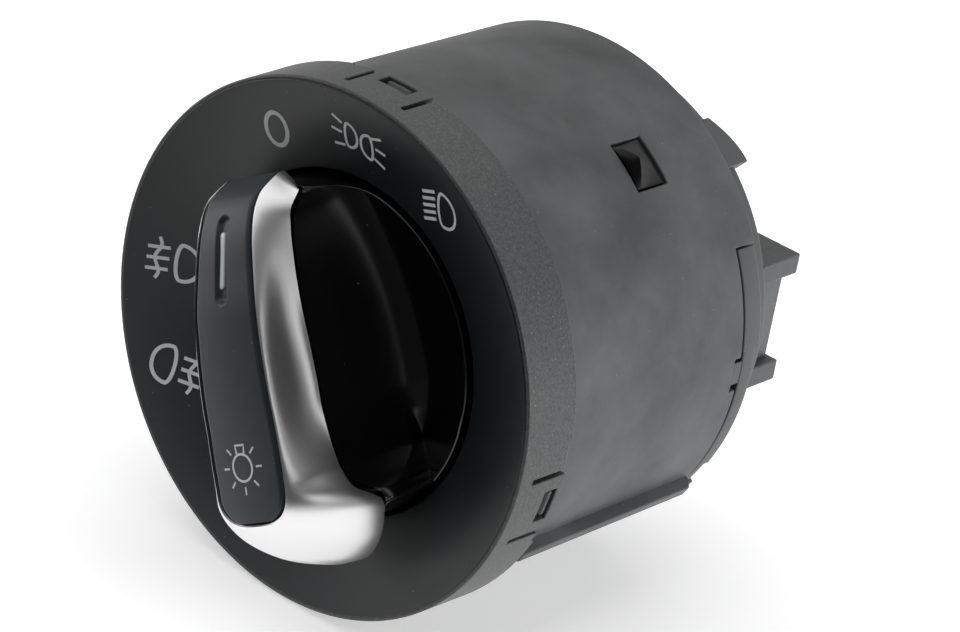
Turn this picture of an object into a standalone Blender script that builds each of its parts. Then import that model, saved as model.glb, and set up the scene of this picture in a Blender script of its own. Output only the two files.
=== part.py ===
"""Rotary headlight switch for a dashboard, as an assembly of its separate pieces.

The switch is modelled face up: X to the right and Y up as the driver sees the dial, Z out of the
dashboard, with the plane where the bezel meets the dashboard at Z = 0. The empty switch_frame then
turns the face towards -Y of the world. Sizes are in millimetres and become metres in the meshes.
"""
import math

import bmesh
import bpy
import numpy as np
from mathutils import Matrix

MM = 0.001
FIT_GAP = 0.3          # gap between pieces that touch
RUN_GAP = 0.3          # gap between pieces that slide or turn on each other
CUT = 1.0              # how far a cutter stands past the faces that it cuts
EMBED = 0.7            # how deep a joined form starts inside the piece that it grows from
ROUND_STEPS = 64       # facets of the large turned pieces
MIDDLE_STEPS = 48      # facets of the middle-sized turned pieces
SMALL_STEPS = 24       # facets of the small turned pieces
PLASTIC_BLACK = (0.018, 0.020, 0.022)
PLASTIC_GREY = (0.045, 0.046, 0.047)

# Light rod and spindle: every piece round them takes its radius from here outwards
ROD_R = 1.5
ROD_GAP = 0.8
SPINDLE_BORE_R = ROD_R + ROD_GAP
SPINDLE_R = 7.0
SPINDLE_FLAT_DEPTH = 1.0
SPINDLE_FLAT = SPINDLE_R - SPINDLE_FLAT_DEPTH
SPINDLE_TOP = 4.4

# Push sleeve, rotor and the carrier's bearing tube
SLEEVE_WALL = 3.7
SLEEVE_R = SPINDLE_R + SLEEVE_WALL
KEY_WIDTH = 2.4
KEY_HEIGHT = 1.2
KEY_DROP = 1.5         # how far behind the rotor's front the keys end
ROTOR_BORE_R = SLEEVE_R + RUN_GAP
ROTOR_WALL = 3.0
ROTOR_R = ROTOR_BORE_R + ROTOR_WALL
BEARING_R = ROTOR_R + RUN_GAP
BEARING_WALL = 2.7
BEARING_OUTER_R = BEARING_R + BEARING_WALL
DETENT_RING_REACH = 0.4
DETENT_RING_R = BEARING_OUTER_R + DETENT_RING_REACH

# Knob and the dial's collar round it
KNOB_R = 21.1
KNOB_SLIP = 0.7
DIAL_HOLE_R = KNOB_R + KNOB_SLIP
DIAL_COLLAR_WALL = 1.4
DIAL_COLLAR_R = DIAL_HOLE_R + DIAL_COLLAR_WALL

# Barrel: it holds the rotor, towers and catches, and at its front the collar and the light pipes
TOWER_GAP = 0.8
TOWER_WALL = 1.6
TOWER_HALF_SPAN = 9.0  # degrees
CATCH_ROOM = 4.5       # way of a catch inwards and the seat of its spring
CATCH_FOOT_DEPTH = 5.7
CATCH_REACH = CATCH_ROOM + CATCH_FOOT_DEPTH + 2 * FIT_GAP
PIPE_ROOM = 7.4
BARREL_INNER_R = max(DETENT_RING_R + TOWER_GAP + TOWER_WALL + CATCH_REACH, DIAL_COLLAR_R + PIPE_ROOM)
BARREL_WALL = 2.0
CATCH_FOOT_R = BARREL_INNER_R - 2 * FIT_GAP
CATCH_INNER_R = CATCH_FOOT_R - CATCH_FOOT_DEPTH
TOWER_R = CATCH_INNER_R - CATCH_ROOM

# Barrel, bezel ring and dial, each round or in the one before
BARREL_R = BARREL_INNER_R + BARREL_WALL
RING_SLIP = 0.4
RING_INNER_R = BARREL_R + RING_SLIP
RING_WALL = 1.0
RING_FRONT_R = RING_INNER_R + RING_WALL
RING_TAPER = 0.15
RING_BACK_R = RING_FRONT_R + RING_TAPER
RING_LIP = 0.2
RING_LIP_HEIGHT = 0.3
RING_LIP_R = RING_FRONT_R - RING_LIP
RING_LEDGE_WIDTH = 1.2
RING_LEDGE_R = RING_INNER_R - RING_LEDGE_WIDTH
DIAL_R = RING_LIP_R - FIT_GAP
DIAL_EDGE = 0.2
DIAL_WALL = 1.5
GUIDE_SKIRT = 1.4
GUIDE_WALL = 2.2

# Heights in front of the dashboard
RING_HEIGHT = 8.45
RING_LEDGE_DROP = 1.15
RING_LEDGE_TOP = RING_HEIGHT - RING_LEDGE_DROP
RING_LEDGE_WALL = 1.0
BARREL_FRONT = RING_LEDGE_TOP - RING_LEDGE_WALL - FIT_GAP
DIAL_PROUD = 0.17
DIAL_TOP = RING_HEIGHT + DIAL_PROUD
FUNNEL_DEPTH = 4.22
DIAL_HOLE_Z = DIAL_TOP - FUNNEL_DEPTH
KNOB_PROUD = 0.6
KNOB_RIM_Z = DIAL_HOLE_Z + KNOB_PROUD

# Depths behind the dashboard: the carrier hangs at the front, the rest is stacked from the rim forwards
BARREL_DEPTH = 37.8
BARREL_BACK = -BARREL_DEPTH
RIM_HEIGHT = 3.8
RIM_STEP = BARREL_BACK + RIM_HEIGHT   # where the barrel's rim is cut back for the cover's bands
COVER_FRONT = RIM_STEP - FIT_GAP
COVER_WALL = 2.0
COVER_BACK = COVER_FRONT - COVER_WALL
BOARD_STANDOFF = 2.7
BOARD_BACK = COVER_FRONT + BOARD_STANDOFF
BOARD_WALL = 1.6
BOARD_FRONT = BOARD_BACK + BOARD_WALL
WIPER_ROOM = 4.0
ROTOR_BACK = BOARD_FRONT + WIPER_ROOM
TOWER_END = ROTOR_BACK - FIT_GAP
ROTOR_FLOOR = 3.0
ROTOR_FLOOR_TOP = ROTOR_BACK + ROTOR_FLOOR
DETENT_RING_WIDTH = 3.7
ROTOR_RING_FRONT = ROTOR_BACK + DETENT_RING_WIDTH
BEARING_END = ROTOR_RING_FRONT + RUN_GAP
CARRIER_TOP = -6.0
CARRIER_WALL = 2.0
CARRIER_BACK = CARRIER_TOP - CARRIER_WALL
ROTOR_RISE = 1.4
ROTOR_FRONT = CARRIER_TOP + ROTOR_RISE
DRUM_DEPTH = 7.9
DRUM_BACK = COVER_BACK - DRUM_DEPTH
SOCKET_REACH = 7.2
SOCKET_BACK = DRUM_BACK - SOCKET_REACH
SOCKET_DEPTH = 13.0
SOCKET_FLOOR = SOCKET_BACK + SOCKET_DEPTH

# Snap tongues of the bezel ring and the hooks and ribs of the barrel under them; angles in degrees
CLIP_ANGLES = (0.7, 102.4, -102.4)
SLOT_HALF_SPAN = 7.75
SLOT_WIDTH = 0.6
SLOT_TOP = 6.0
WINDOW_WIDTH = 4.7
WINDOW_BACK = 0.8
WINDOW_HEIGHT = 2.15
WINDOW_FRONT = WINDOW_BACK + WINDOW_HEIGHT
HOOK_HEIGHT = 1.2
HOOK_LAND = 0.5
SEAT_RIB_SPANS = ((-14.5, -3.0), (4.0, 11.0))
SEAT_RIB_HEIGHT = 0.25
SEAT_RIB_WIDTH = 0.8

# Cuts, rails and inner ledge of the barrel
RIM_CUT_START = 60.4
RIM_CUT_END = 124.8
RIM_NOTCH_START = 85.2
RIM_NOTCH_END = 93.1
RIM_NOTCH_DEPTH = 1.15
RAIL_START = 118.5
RAIL_END = 121.4
RAIL_HEIGHT = 1.6
CARRIER_LEDGE = 2.0
CARRIER_LEDGE_WALL = 1.5

# Locking catches: windows in the barrel, noses, pockets and springs
CATCH_ANGLES = (36.3, 216.3)
CATCH_WINDOW_WIDTH = 6.9
CATCH_WINDOW_BACK = ROTOR_BACK
CATCH_WINDOW_LENGTH = 5.6
CATCH_WINDOW_FRONT = CATCH_WINDOW_BACK + CATCH_WINDOW_LENGTH
CATCH_GAP = 0.35
CATCH_NOSE = 1.9
CATCH_NOSE_ROOT = 0.6  # depth below the barrel's face where the nose starts
CATCH_NOSE_PROFILE = ((0.0, 0.25), (0.25, 0.75), (0.45, 1.0), (0.6, 0.9), (1.0, 0.15))
CATCH_SHOULDER_WIDTH = 0.45
CATCH_SHOULDER_HEIGHT = 0.62
CATCH_FOOT_EXTRA = 1.1
CATCH_POCKET_R = 2.4
CATCH_POCKET_DEPTH = 3.0
CATCH_SPRING_WIRE_R = 0.3
CATCH_SPRING_TURNS = 3.0

# Turning detent: three notches in the rotor, a leaf spring and its two posts
DETENT_STEP = 30.0
DETENT_COUNT = 3
DETENT_ANGLE = 126.3
DETENT_DEPTH = 1.2
NOTCH_FLAT = 0.4
NOTCH_SLOPE = 1.25
NOTCH_OVERSHOOT = 0.5
DETENT_BLADE = 0.4
DETENT_BLADE_WIDTH = 2.6
DETENT_TIP_GAP = 0.4
DETENT_TIP_WIDTH = 0.45
DETENT_BEND = (1.6, 1.55)
DETENT_SHOULDER = (3.2, 2.3)
POST_R = 1.3
POST_OFFSET = 8.4
POST_GAP = 5.7
POST_CENTRE_R = DETENT_RING_R + POST_GAP
POST_GRIP = 1.2

# Push and pull: spring under the sleeve, wire ring and the spindle's grooves
PUSH_TRAVEL = 3.0
PUSH_RESERVE = 0.6
PULL_STEP = 3.5
PULL_COUNT = 3
SLEEVE_PROUD = 0.7
SLEEVE_FRONT = ROTOR_FRONT + SLEEVE_PROUD
SPRING_ROOM = 6.0
SLEEVE_BACK = ROTOR_FLOOR_TOP + SPRING_ROOM
SPRING_COIL_R = SPINDLE_R + 2.0
SPRING_WIRE = 0.9
SPRING_TURNS = 2.5
GROOVE_OFFSET = 0.45   # from the middle of the sleeve to the wire ring
GROOVE_Z = (SLEEVE_FRONT + SLEEVE_BACK) / 2 + GROOVE_OFFSET
GROOVE_DEPTH = 0.6
GROOVE_HALF_WIDTH = 0.75
DETENT_WIRE_R = 0.4
DETENT_COIL_R = SPINDLE_R + 0.15
DETENT_COIL_ROOM = 0.45
DETENT_COIL_OPENING = 15.0

# Knob: skirt, dish, hollow flanks of the bar, feet beside its lower end, and the boss on the spindle
SKIRT_GAP = 0.4
KNOB_SKIRT_END = CARRIER_TOP + PUSH_TRAVEL + SKIRT_GAP
KNOB_WALL = 1.5
DISH_DEPTH = 4.2
FLANK_REACH = 8.0      # how far the bar's hollow flank runs out into the dish
FLANK_POWER = 4.0
FOOT_RISE = 4.9
FOOT_HALF_WIDTH = 13.4
FOOT_STEP = 0.45
FOOT_START = -9.0
FOOT_LENGTH = 7.1
FOOT_POWER = 1.6
SEAT_MARGIN = 0.8      # how far along the bar the knob stays below the trim's foot
KNOB_EDGE_SHARE = 0.88 # largest share of a row that the bar takes
KNOB_ROWS = 28
KNOB_HOLLOW_ROWS = 18
KNOB_BAR_COLUMNS = (0.0, 0.6, 1.0)
KNOB_FLANK_COLUMNS = (0.08, 0.2, 0.38, 0.64, 1.0)
BOSS_R = SPINDLE_R + 2.3
BOSS_WALL = 1.5
ROD_OPENING_START = 0.5

# Grip: the bar points to the 0 mark, left of the top
GRIP_ANGLE = 30.0
BAR_TOP = 22.4
BAR_STRAIGHT_END = -13.0
PLACE_POWER = 1.4      # draws the sections together where the crest falls away
INSERT_END_LENGTH = 5.8
INSERT_END_CREST = 24.6
INSERT_CROWN = 0.35
INSERT_WALL = 1.5
INSERT_ROOF = 1.9
INSERT_TOP_WALL = 2.8
INSERT_END_TURN = 80.0
INSERT_END_STEP = 11.5
HOLLOW_END_TURN = 45.0
CREST_GAP = 0.35
TRIM_TOP_SLANT = 2.5
TRIM_TOP_SLANT_START = 12.0
TRIM_END_STEP = 7.5
TRIM_SECTION_STEPS = 7

# Profile of the bar: place along it, half width, crest height, and half width and height of its foot
BAR_PLACE = (-13.0, -10.0, -6.0, -3.0, 2.0, 5.0, 8.0, 12.0, 16.0, 18.0, 20.0, 21.0, 22.4)
BAR_HALF_WIDTH = (5.9, 5.95, 5.86, 5.8, 5.6, 5.45, 5.35, 5.05, 4.75, 4.65, 4.6, 4.6, 4.5)
BAR_CREST = (24.2, 23.9, 23.5, 23.3, 22.7, 22.2, 21.6, 20.4, 19.0, 18.0, 16.6, 15.4, 12.1)
TRIM_FOOT_HALF_WIDTH = (8.0, 7.5, 7.3, 7.25, 7.2, 7.15, 7.1, 7.05, 7.0, 7.0, 7.0, 7.0, 7.0)
TRIM_FOOT_Z = (16.6, 16.6, 16.6, 16.3, 16.0, 15.9, 15.7, 15.2, 14.4, 13.7, 11.6, 10.9, 10.9)

# Outline of the trim's foot round the lower end: place along the bar, half width, height
END_PLACE = (-13.0, -15.6, -18.0, -20.6, -23.2, -25.2, -25.8)
END_HALF_WIDTH = (8.0, 9.1, 9.8, 8.9, 6.9, 3.6, 0.0)
END_FOOT_Z = (16.6, 16.2, 12.9, 12.4, 12.0, 11.2, 10.9)

# Indicator slot and its light bar
SLOT_LENGTH = 10.4
SLOT_HALF_WIDTH = 1.15
SLOT_DEPTH = 0.9
SLOT_CENTRE = 13.0
SLOT_CUTTER_HEIGHT = 3.0
LENS_LENGTH = 6.2
LENS_HALF_WIDTH = 0.4
LENS_DEPTH = 3.2
LENS_RISE = 0.2
ROD_TOP_ROOM = 1.0

# Rear cover: lid in the barrel, bands on its cut rim, drum and ramp; angles in degrees
COVER_R = BARREL_INNER_R - FIT_GAP
BAND_INSET = 0.1
BAND_ROOT = 0.8
BAND_GAP = 0.5
BAND_BACK = BARREL_BACK - BAND_INSET
BAND_STEP_ANGLE = 84.2
BAND_OVERLAP = 3.0
LUG_GAP = 1.2
LUG_INSET = 0.2
DRUM_STEP = 1.8
DRUM_R = COVER_R - DRUM_STEP
DRUM_WALL = 1.8
RAMP_START = 28.0
RAMP_END = 42.0
RAMP_STEPS = 4
RAMP_PROUD = 0.9
RAMP_RISE = 1.4
RAMP_EDGE = 0.6

# Plug socket
SOCKET_INSET = 1.9     # from the drum's radius to the socket's half width
SOCKET_HALF_WIDTH = DRUM_R - SOCKET_INSET
SOCKET_TOP = 10.55
SOCKET_BOTTOM = -7.5
SOCKET_FLANGE = 2.85
SOCKET_FLANGE_REACH = 1.7
SOCKET_STEP = 0.4      # how far the socket's walls lie inside its flanges
SOCKET_WALL = 1.6

# Circuit board, its posts, lamps, light pipes, terminals and wipers
BOARD_GAP = 0.8
BOARD_R = BARREL_INNER_R - BOARD_GAP
BOARD_POST_R = 2.2
BOARD_POST_INSET = 2.8
BOARD_POST_CENTRE_R = BOARD_R - BOARD_POST_INSET
BOARD_POST_ANGLES = (70.0, 150.0, 250.0)
LAMP_LENGTH = 3.2
LAMP_WIDTH = 2.0
LAMP_HEIGHT = 1.5
LAMP_EDGE = 0.25
LAMP_TOP = BOARD_FRONT + FIT_GAP + LAMP_HEIGHT
LAMP_CLEARANCE = 0.7   # between the pushed spindle and the lamp under it
SPINDLE_END = LAMP_TOP + PUSH_TRAVEL + LAMP_CLEARANCE
PIPE_INSET = 4.1
PIPE_CENTRE_R = BARREL_INNER_R - PIPE_INSET
PIPE_R = 1.5
PIPE_ANGLES = (0.0, -100.0)
TERMINAL_WIDTH = 0.9
TERMINAL_WALL = 0.6
TERMINAL_RISE = 1.0
TERMINAL_REACH = 7.6
TERMINAL_TAPER = 1.2
TERMINAL_TIP = 0.45    # share of the section that is left at the tip
TERMINAL_PITCH = 7.0
TERMINAL_COLUMNS = 5
TERMINAL_ROW_GAP = 6.0
WIPER_OFFSET = 1.5
WIPER_CENTRE_R = ROTOR_BORE_R + WIPER_OFFSET
WIPER_WALL = 0.3
WIPER_WIDTH = 2.4
WIPER_TAIL = 4.2
WIPER_BEND = 0.6
WIPER_REACH = 5.0
WIPER_CURL = 0.8


def clear_scene():
    """Remove whatever the open file holds."""
    for obj in list(bpy.data.objects):
        bpy.data.objects.remove(obj, do_unlink=True)


def new_collection(name):
    """Return a new collection linked to the scene."""
    collection = bpy.data.collections.new(name)
    bpy.context.scene.collection.children.link(collection)
    return collection


def new_material(name, colour, roughness, metallic=0.0):
    """Return a Principled material."""
    material = bpy.data.materials.new(name)
    material.use_nodes = True
    shader = material.node_tree.nodes["Principled BSDF"]
    shader.inputs["Base Color"].default_value = (*colour, 1.0)
    shader.inputs["Roughness"].default_value = roughness
    shader.inputs["Metallic"].default_value = metallic
    material.diffuse_color = (*colour, 1.0)
    return material


def new_empty(name, parent, turn=0.0):
    """Return an empty on the switch's axis, turned clockwise as seen from the front, in degrees."""
    empty = bpy.data.objects.new(name, None)
    parts.objects.link(empty)
    empty.parent = parent
    empty.rotation_euler = (0.0, 0.0, math.radians(-turn))
    empty.empty_display_size = 10 * MM
    return empty


def add_object(name, mesh, parent, material=None, smooth=35.0):
    """Put a mesh in the scene as a part, or as a hidden cutter when it has no material."""
    obj = bpy.data.objects.new(name, mesh)
    obj.parent = parent
    if material is None:
        cutters.objects.link(obj)
        obj.hide_render = True
        obj.display_type = "WIRE"
        return obj
    parts.objects.link(obj)
    mesh.materials.append(material)
    if mesh.polygons:
        mesh.shade_smooth()
        mesh.set_sharp_from_angle(angle=math.radians(smooth))
    return obj


def mesh_from(bm, name):
    """Turn a bmesh into a mesh with its faces outwards."""
    bmesh.ops.recalc_face_normals(bm, faces=bm.faces)
    mesh = bpy.data.meshes.new(name)
    bm.to_mesh(mesh)
    bm.free()
    return mesh


def turned(name, profile, parent, material=None, steps=SMALL_STEPS):
    """Turn a closed profile of (radius, height) points about Z. It runs down its outer side."""
    mesh = bpy.data.meshes.new(name)
    points = [(radius * MM, 0.0, height * MM) for radius, height in profile]
    count = len(points)
    closed = min(radius for radius, _ in profile) > 0
    edges = [(i, (i + 1) % count) for i in range(count if closed else count - 1)]
    mesh.from_pydata(points, edges, [])
    obj = add_object(name, mesh, parent, material)
    screw = obj.modifiers.new("turn", "SCREW")
    screw.axis = "Z"
    screw.angle = math.tau
    screw.steps = steps
    screw.render_steps = steps
    screw.use_merge_vertices = True
    screw.merge_threshold = 0.00001
    screw.use_smooth_shade = True
    return obj


def tube_profile(outer, inner, top, bottom):
    """Return the closed profile of a plain tube."""
    return [(outer, top), (outer, bottom), (inner, bottom), (inner, top)]


def disc_profile(radius, top, bottom):
    """Return the profile of a plain disc, from its axis round to its axis."""
    return [(0.0, top), (radius, top), (radius, bottom), (0.0, bottom)]


def extruded(name, outline, bottom, top, parent, material=None):
    """Extrude a flat outline along Z with a filled 2D curve, kept as a mesh."""
    curve = bpy.data.curves.new(name, "CURVE")
    curve.dimensions = "2D"
    curve.fill_mode = "BOTH"
    curve.extrude = (top - bottom) / 2 * MM
    spline = curve.splines.new("POLY")
    spline.points.add(len(outline) - 1)
    for point, (x, y) in zip(spline.points, outline):
        point.co = (x * MM, y * MM, 0.0, 1.0)
    spline.use_cyclic_u = True
    guide = bpy.data.objects.new(name + "_outline", curve)
    cutters.objects.link(guide)
    graph = bpy.context.evaluated_depsgraph_get()
    mesh = bpy.data.meshes.new_from_object(guide.evaluated_get(graph))
    bpy.data.objects.remove(guide, do_unlink=True)
    bm = bmesh.new()
    bm.from_mesh(mesh)
    bmesh.ops.remove_doubles(bm, verts=bm.verts, dist=0.000001)
    bmesh.ops.translate(bm, verts=bm.verts, vec=(0.0, 0.0, (top + bottom) / 2 * MM))
    bpy.data.meshes.remove(mesh)
    return add_object(name, mesh_from(bm, name), parent, material)


def box(name, low, high, parent, material=None):
    """Return a box between two corners."""
    bm = bmesh.new()
    size = [(b - a) * MM for a, b in zip(low, high)]
    middle = [(a + b) / 2 * MM for a, b in zip(low, high)]
    bmesh.ops.create_cube(bm, size=1.0, matrix=Matrix.Translation(middle) @ Matrix.Diagonal((*size, 1.0)))
    return add_object(name, mesh_from(bm, name), parent, material)


def loft(name, sections, parent, material=None, smooth=35.0):
    """Join equal closed sections, each an array of points, into one solid with flat ends."""
    count = len(sections[0])
    points = np.concatenate(sections) * MM
    faces = []
    for row in range(len(sections) - 1):
        for i in range(count):
            j = (i + 1) % count
            faces.append((row * count + i, row * count + j, (row + 1) * count + j, (row + 1) * count + i))
    faces.append(tuple(range(count)))
    faces.append(tuple((len(sections) - 1) * count + i for i in range(count)))
    mesh = bpy.data.meshes.new(name)
    mesh.from_pydata(points.tolist(), [], faces)
    bm = bmesh.new()
    bm.from_mesh(mesh)
    bpy.data.meshes.remove(mesh)
    return add_object(name, mesh_from(bm, name), parent, material, smooth)


def wire(name, points, radius, parent, material, resolution=2):
    """Return a round wire through the points, with closed ends."""
    curve = bpy.data.curves.new(name, "CURVE")
    curve.dimensions = "3D"
    curve.bevel_depth = radius * MM
    curve.bevel_resolution = resolution
    curve.use_fill_caps = True
    spline = curve.splines.new("POLY")
    spline.points.add(len(points) - 1)
    for point, (x, y, z) in zip(spline.points, points):
        point.co = (x * MM, y * MM, z * MM, 1.0)
    spline.use_smooth = True
    obj = bpy.data.objects.new(name, curve)
    obj.parent = parent
    curve.materials.append(material)
    parts.objects.link(obj)
    return obj


def cut(target, cutter, kind="DIFFERENCE"):
    """Cut a piece with another, or join the other to it."""
    boolean = target.modifiers.new(kind.lower(), "BOOLEAN")
    boolean.operation = kind
    boolean.solver = "EXACT"
    boolean.object = cutter
    if cutter.name not in cutters.objects:
        cutters.objects.link(cutter)
        parts.objects.unlink(cutter)
        cutter.hide_render = True
        cutter.display_type = "WIRE"


def merge(target, other):
    """Join a second solid, which overlaps the first, to it."""
    cut(target, other, "UNION")


def around(angle, radius):
    """Return the point at an angle clockwise from the top, in degrees."""
    return radius * math.sin(math.radians(angle)), radius * math.cos(math.radians(angle))


def arc(radius, start, end, steps):
    """Return points on an arc, with angles clockwise from the top."""
    return [around(start + (end - start) * i / steps, radius) for i in range(steps + 1)]


def circle(radius, centre, steps=12):
    """Return the outline of a circle."""
    return [(centre[0] + x, centre[1] + y) for x, y in arc(radius, 0.0, 360.0 * (1 - 1 / steps), steps - 1)]


def sector(inner, outer, start, end, steps=10):
    """Return the outline of a piece of a ring."""
    return arc(outer, start, end, steps) + arc(inner, end, start, steps)


def flatted(radius, flat, steps=7):
    """Return a circle with a flat on its left and right sides."""
    half = math.degrees(math.acos(flat / radius))
    right_top = 90 - half
    return arc(radius, -right_top, right_top, steps) + arc(radius, 180 - right_top, 180 + right_top, steps)


def strip(points, wall):
    """Return the outline of a bent strip: its middle line moved half a wall to each side."""
    line = np.array(points, float)
    run = np.gradient(line, axis=0)
    run /= np.linalg.norm(run, axis=1)[:, None]
    side = np.stack([-run[:, 1], run[:, 0]], axis=1) * wall / 2
    return [tuple(p) for p in line + side] + [tuple(p) for p in (line - side)[::-1]]


def capsule(half_width, length, steps=6):
    """Return an upright slot outline with round ends."""
    straight = length / 2 - half_width
    top = [(x, y + straight) for x, y in arc(half_width, -90, 90, steps)]
    return top + [(x, y - straight) for x, y in arc(half_width, 90, 270, steps)]


def helix(radius, start, end, turns, steps=14):
    """Return the middle line of a coil spring along Z."""
    count = int(turns * steps)
    line = []
    for i in range(count + 1):
        x, y = around(360.0 * turns * i / count, radius)
        line.append((x, y, start + (end - start) * i / count))
    return line


def smooth_curve(places, values, at):
    """Read a smooth curve through the values, with level or falling slopes kept between them."""
    places = np.asarray(places, float)
    values = np.asarray(values, float)
    step = np.diff(places)
    rise = np.diff(values) / step
    slope = np.concatenate([[rise[0]], (rise[1:] + rise[:-1]) / 2, [rise[-1]]])
    slope[1:-1][rise[1:] * rise[:-1] <= 0] = 0.0
    at = np.clip(at, places[0], places[-1])
    i = np.clip(np.searchsorted(places, at, side="right") - 1, 0, len(places) - 2)
    t = (at - places[i]) / step[i]
    start = (1 + 2 * t) * (1 - t) ** 2 * values[i] + t * (1 - t) ** 2 * step[i] * slope[i]
    return start + t * t * (3 - 2 * t) * values[i + 1] + t * t * (t - 1) * step[i] * slope[i + 1]


def dial_z(radius):
    """Return the height of the dial's face, a shallow funnel."""
    slope = (DIAL_TOP - DIAL_HOLE_Z) / (DIAL_R - DIAL_HOLE_R)
    return DIAL_TOP - slope * (DIAL_R - radius)


def bezel_ring(parent, material):
    """Front ring: a thin wall with a ledge for the dial, and three snap tongues."""
    profile = [
        (RING_LIP_R, RING_HEIGHT),
        (RING_FRONT_R, RING_HEIGHT - RING_LIP_HEIGHT),
        (RING_BACK_R, 0.0),
        (RING_INNER_R, 0.0),
        (RING_INNER_R, RING_LEDGE_TOP - RING_LEDGE_WALL),
        (RING_LEDGE_R, RING_LEDGE_TOP - RING_LEDGE_WALL),
        (RING_LEDGE_R, RING_LEDGE_TOP),
        (RING_LIP_R, RING_LEDGE_TOP),
    ]
    ring = turned("bezel_ring", profile, parent, material, ROUND_STEPS)
    for number, angle in enumerate(CLIP_ANGLES, start=1):
        clip = new_empty(f"clip_{number}", parent, angle)
        for side in (-1, 1):
            slot_frame = new_empty(f"slot_{number}_{side + 2}", clip, side * SLOT_HALF_SPAN)
            low = (-SLOT_WIDTH / 2, RING_INNER_R - CUT, -CUT)
            high = (SLOT_WIDTH / 2, RING_BACK_R + CUT, SLOT_TOP)
            cut(ring, box(f"slot_cutter_{number}_{side + 2}", low, high, slot_frame))
        low = (-WINDOW_WIDTH / 2, RING_INNER_R - CUT, WINDOW_BACK)
        high = (WINDOW_WIDTH / 2, RING_BACK_R + CUT, WINDOW_FRONT)
        cut(ring, box(f"window_cutter_{number}", low, high, clip))
    return ring


def dial_plate(parent, material):
    """Funnel-shaped dial with a rim that sits on the ring's ledge and a collar round the knob."""
    seat = RING_LEDGE_TOP + FIT_GAP
    inner = RING_LEDGE_R - FIT_GAP
    profile = [
        (DIAL_R - DIAL_EDGE, DIAL_TOP),
        (DIAL_R, DIAL_TOP - DIAL_EDGE),
        (DIAL_R, seat),
        (inner, seat),
        (inner, dial_z(inner) - DIAL_WALL),
        (DIAL_COLLAR_R, dial_z(DIAL_COLLAR_R) - DIAL_WALL),
        (DIAL_COLLAR_R, CARRIER_TOP + FIT_GAP),
        (DIAL_HOLE_R, CARRIER_TOP + FIT_GAP),
        (DIAL_HOLE_R, DIAL_HOLE_Z - DIAL_EDGE),
        (DIAL_HOLE_R + DIAL_EDGE, dial_z(DIAL_HOLE_R + DIAL_EDGE)),
    ]
    return turned("dial_plate", profile, parent, material, ROUND_STEPS)


def guide_top(radius):
    """Return the height of the light guide's front, which follows the underside of the dial."""
    return dial_z(radius) - DIAL_WALL - FIT_GAP


def dial_light_guide(parent, material):
    """Clear ring that follows the underside of the dial, on a skirt that stands on the carrier."""
    outer = BARREL_INNER_R - 2 * FIT_GAP
    skirt_r = outer - GUIDE_SKIRT
    inner = DIAL_COLLAR_R + FIT_GAP
    foot = CARRIER_TOP + FIT_GAP
    profile = [
        (outer, guide_top(outer)),
        (outer, foot),
        (skirt_r, foot),
        (skirt_r, guide_top(skirt_r) - GUIDE_WALL),
        (inner, guide_top(inner) - GUIDE_WALL),
        (inner, guide_top(inner)),
    ]
    return turned("dial_light_guide", profile, parent, material, MIDDLE_STEPS)


def barrel_housing(parent, material):
    """Round barrel with a ledge for the carrier, snap hooks, seat ribs, windows and a guide rail."""
    inner = BARREL_INNER_R
    ledge_top = CARRIER_BACK - FIT_GAP
    profile = [
        (BARREL_R, BARREL_FRONT),
        (BARREL_R, BARREL_BACK),
        (inner, BARREL_BACK),
        (inner, ledge_top - CARRIER_LEDGE_WALL - CARRIER_LEDGE),
        (inner - CARRIER_LEDGE, ledge_top - CARRIER_LEDGE_WALL),
        (inner - CARRIER_LEDGE, ledge_top),
        (inner, ledge_top),
        (inner, BARREL_FRONT),
    ]
    barrel = turned("barrel_housing", profile, parent, material, ROUND_STEPS)
    root = BARREL_R - BARREL_WALL / 2
    for number, angle in enumerate(CLIP_ANGLES, start=1):
        clip = new_empty(f"hook_{number}", parent, angle)
        hook_back = WINDOW_BACK + FIT_GAP
        hook_front = WINDOW_FRONT - FIT_GAP
        half = WINDOW_WIDTH / 2 - 2 * FIT_GAP
        height = BARREL_R + HOOK_HEIGHT
        land = hook_back + HOOK_LAND
        section = [(root, hook_back), (height, hook_back), (height, land), (root, hook_front)]
        ends = [np.array([(x, y, z) for y, z in section]) for x in (-half, half)]
        merge(barrel, loft(f"snap_hook_{number}", ends, clip))
        for rib, (start, end) in enumerate(SEAT_RIB_SPANS, start=1):
            outline = sector(root, BARREL_R + SEAT_RIB_HEIGHT, start, end, 4)
            back = -FIT_GAP - SEAT_RIB_WIDTH
            merge(barrel, extruded(f"seat_rib_{number}_{rib}", outline, back, -FIT_GAP, clip))
    for side in (-1, 1):
        outline = sector(root, BARREL_R + RAIL_HEIGHT, side * RAIL_START, side * RAIL_END, 3)
        merge(barrel, extruded(f"guide_rail_{side + 2}", outline, RIM_STEP, -FIT_GAP, parent))
        cut_r = BARREL_R + RAIL_HEIGHT + CUT
        outline = sector(inner - CUT, cut_r, side * RIM_CUT_START, side * RIM_CUT_END, 12)
        cut(barrel, extruded(f"rim_cutter_{side + 2}", outline, BARREL_BACK - CUT, RIM_STEP, parent))
        outline = sector(inner - CUT, cut_r, side * RIM_NOTCH_START, side * RIM_NOTCH_END, 4)
        notch_top = RIM_STEP + RIM_NOTCH_DEPTH
        cut(barrel, extruded(f"notch_cutter_{side + 2}", outline, RIM_STEP - CUT, notch_top, parent))
    for number, angle in enumerate(CATCH_ANGLES, start=1):
        frame = new_empty(f"catch_window_{number}", parent, angle)
        low = (-CATCH_WINDOW_WIDTH / 2, inner - 2 * CUT, CATCH_WINDOW_BACK)
        high = (CATCH_WINDOW_WIDTH / 2, BARREL_R + CUT, CATCH_WINDOW_FRONT)
        cut(barrel, box(f"catch_window_cutter_{number}", low, high, frame))
    return barrel


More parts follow.
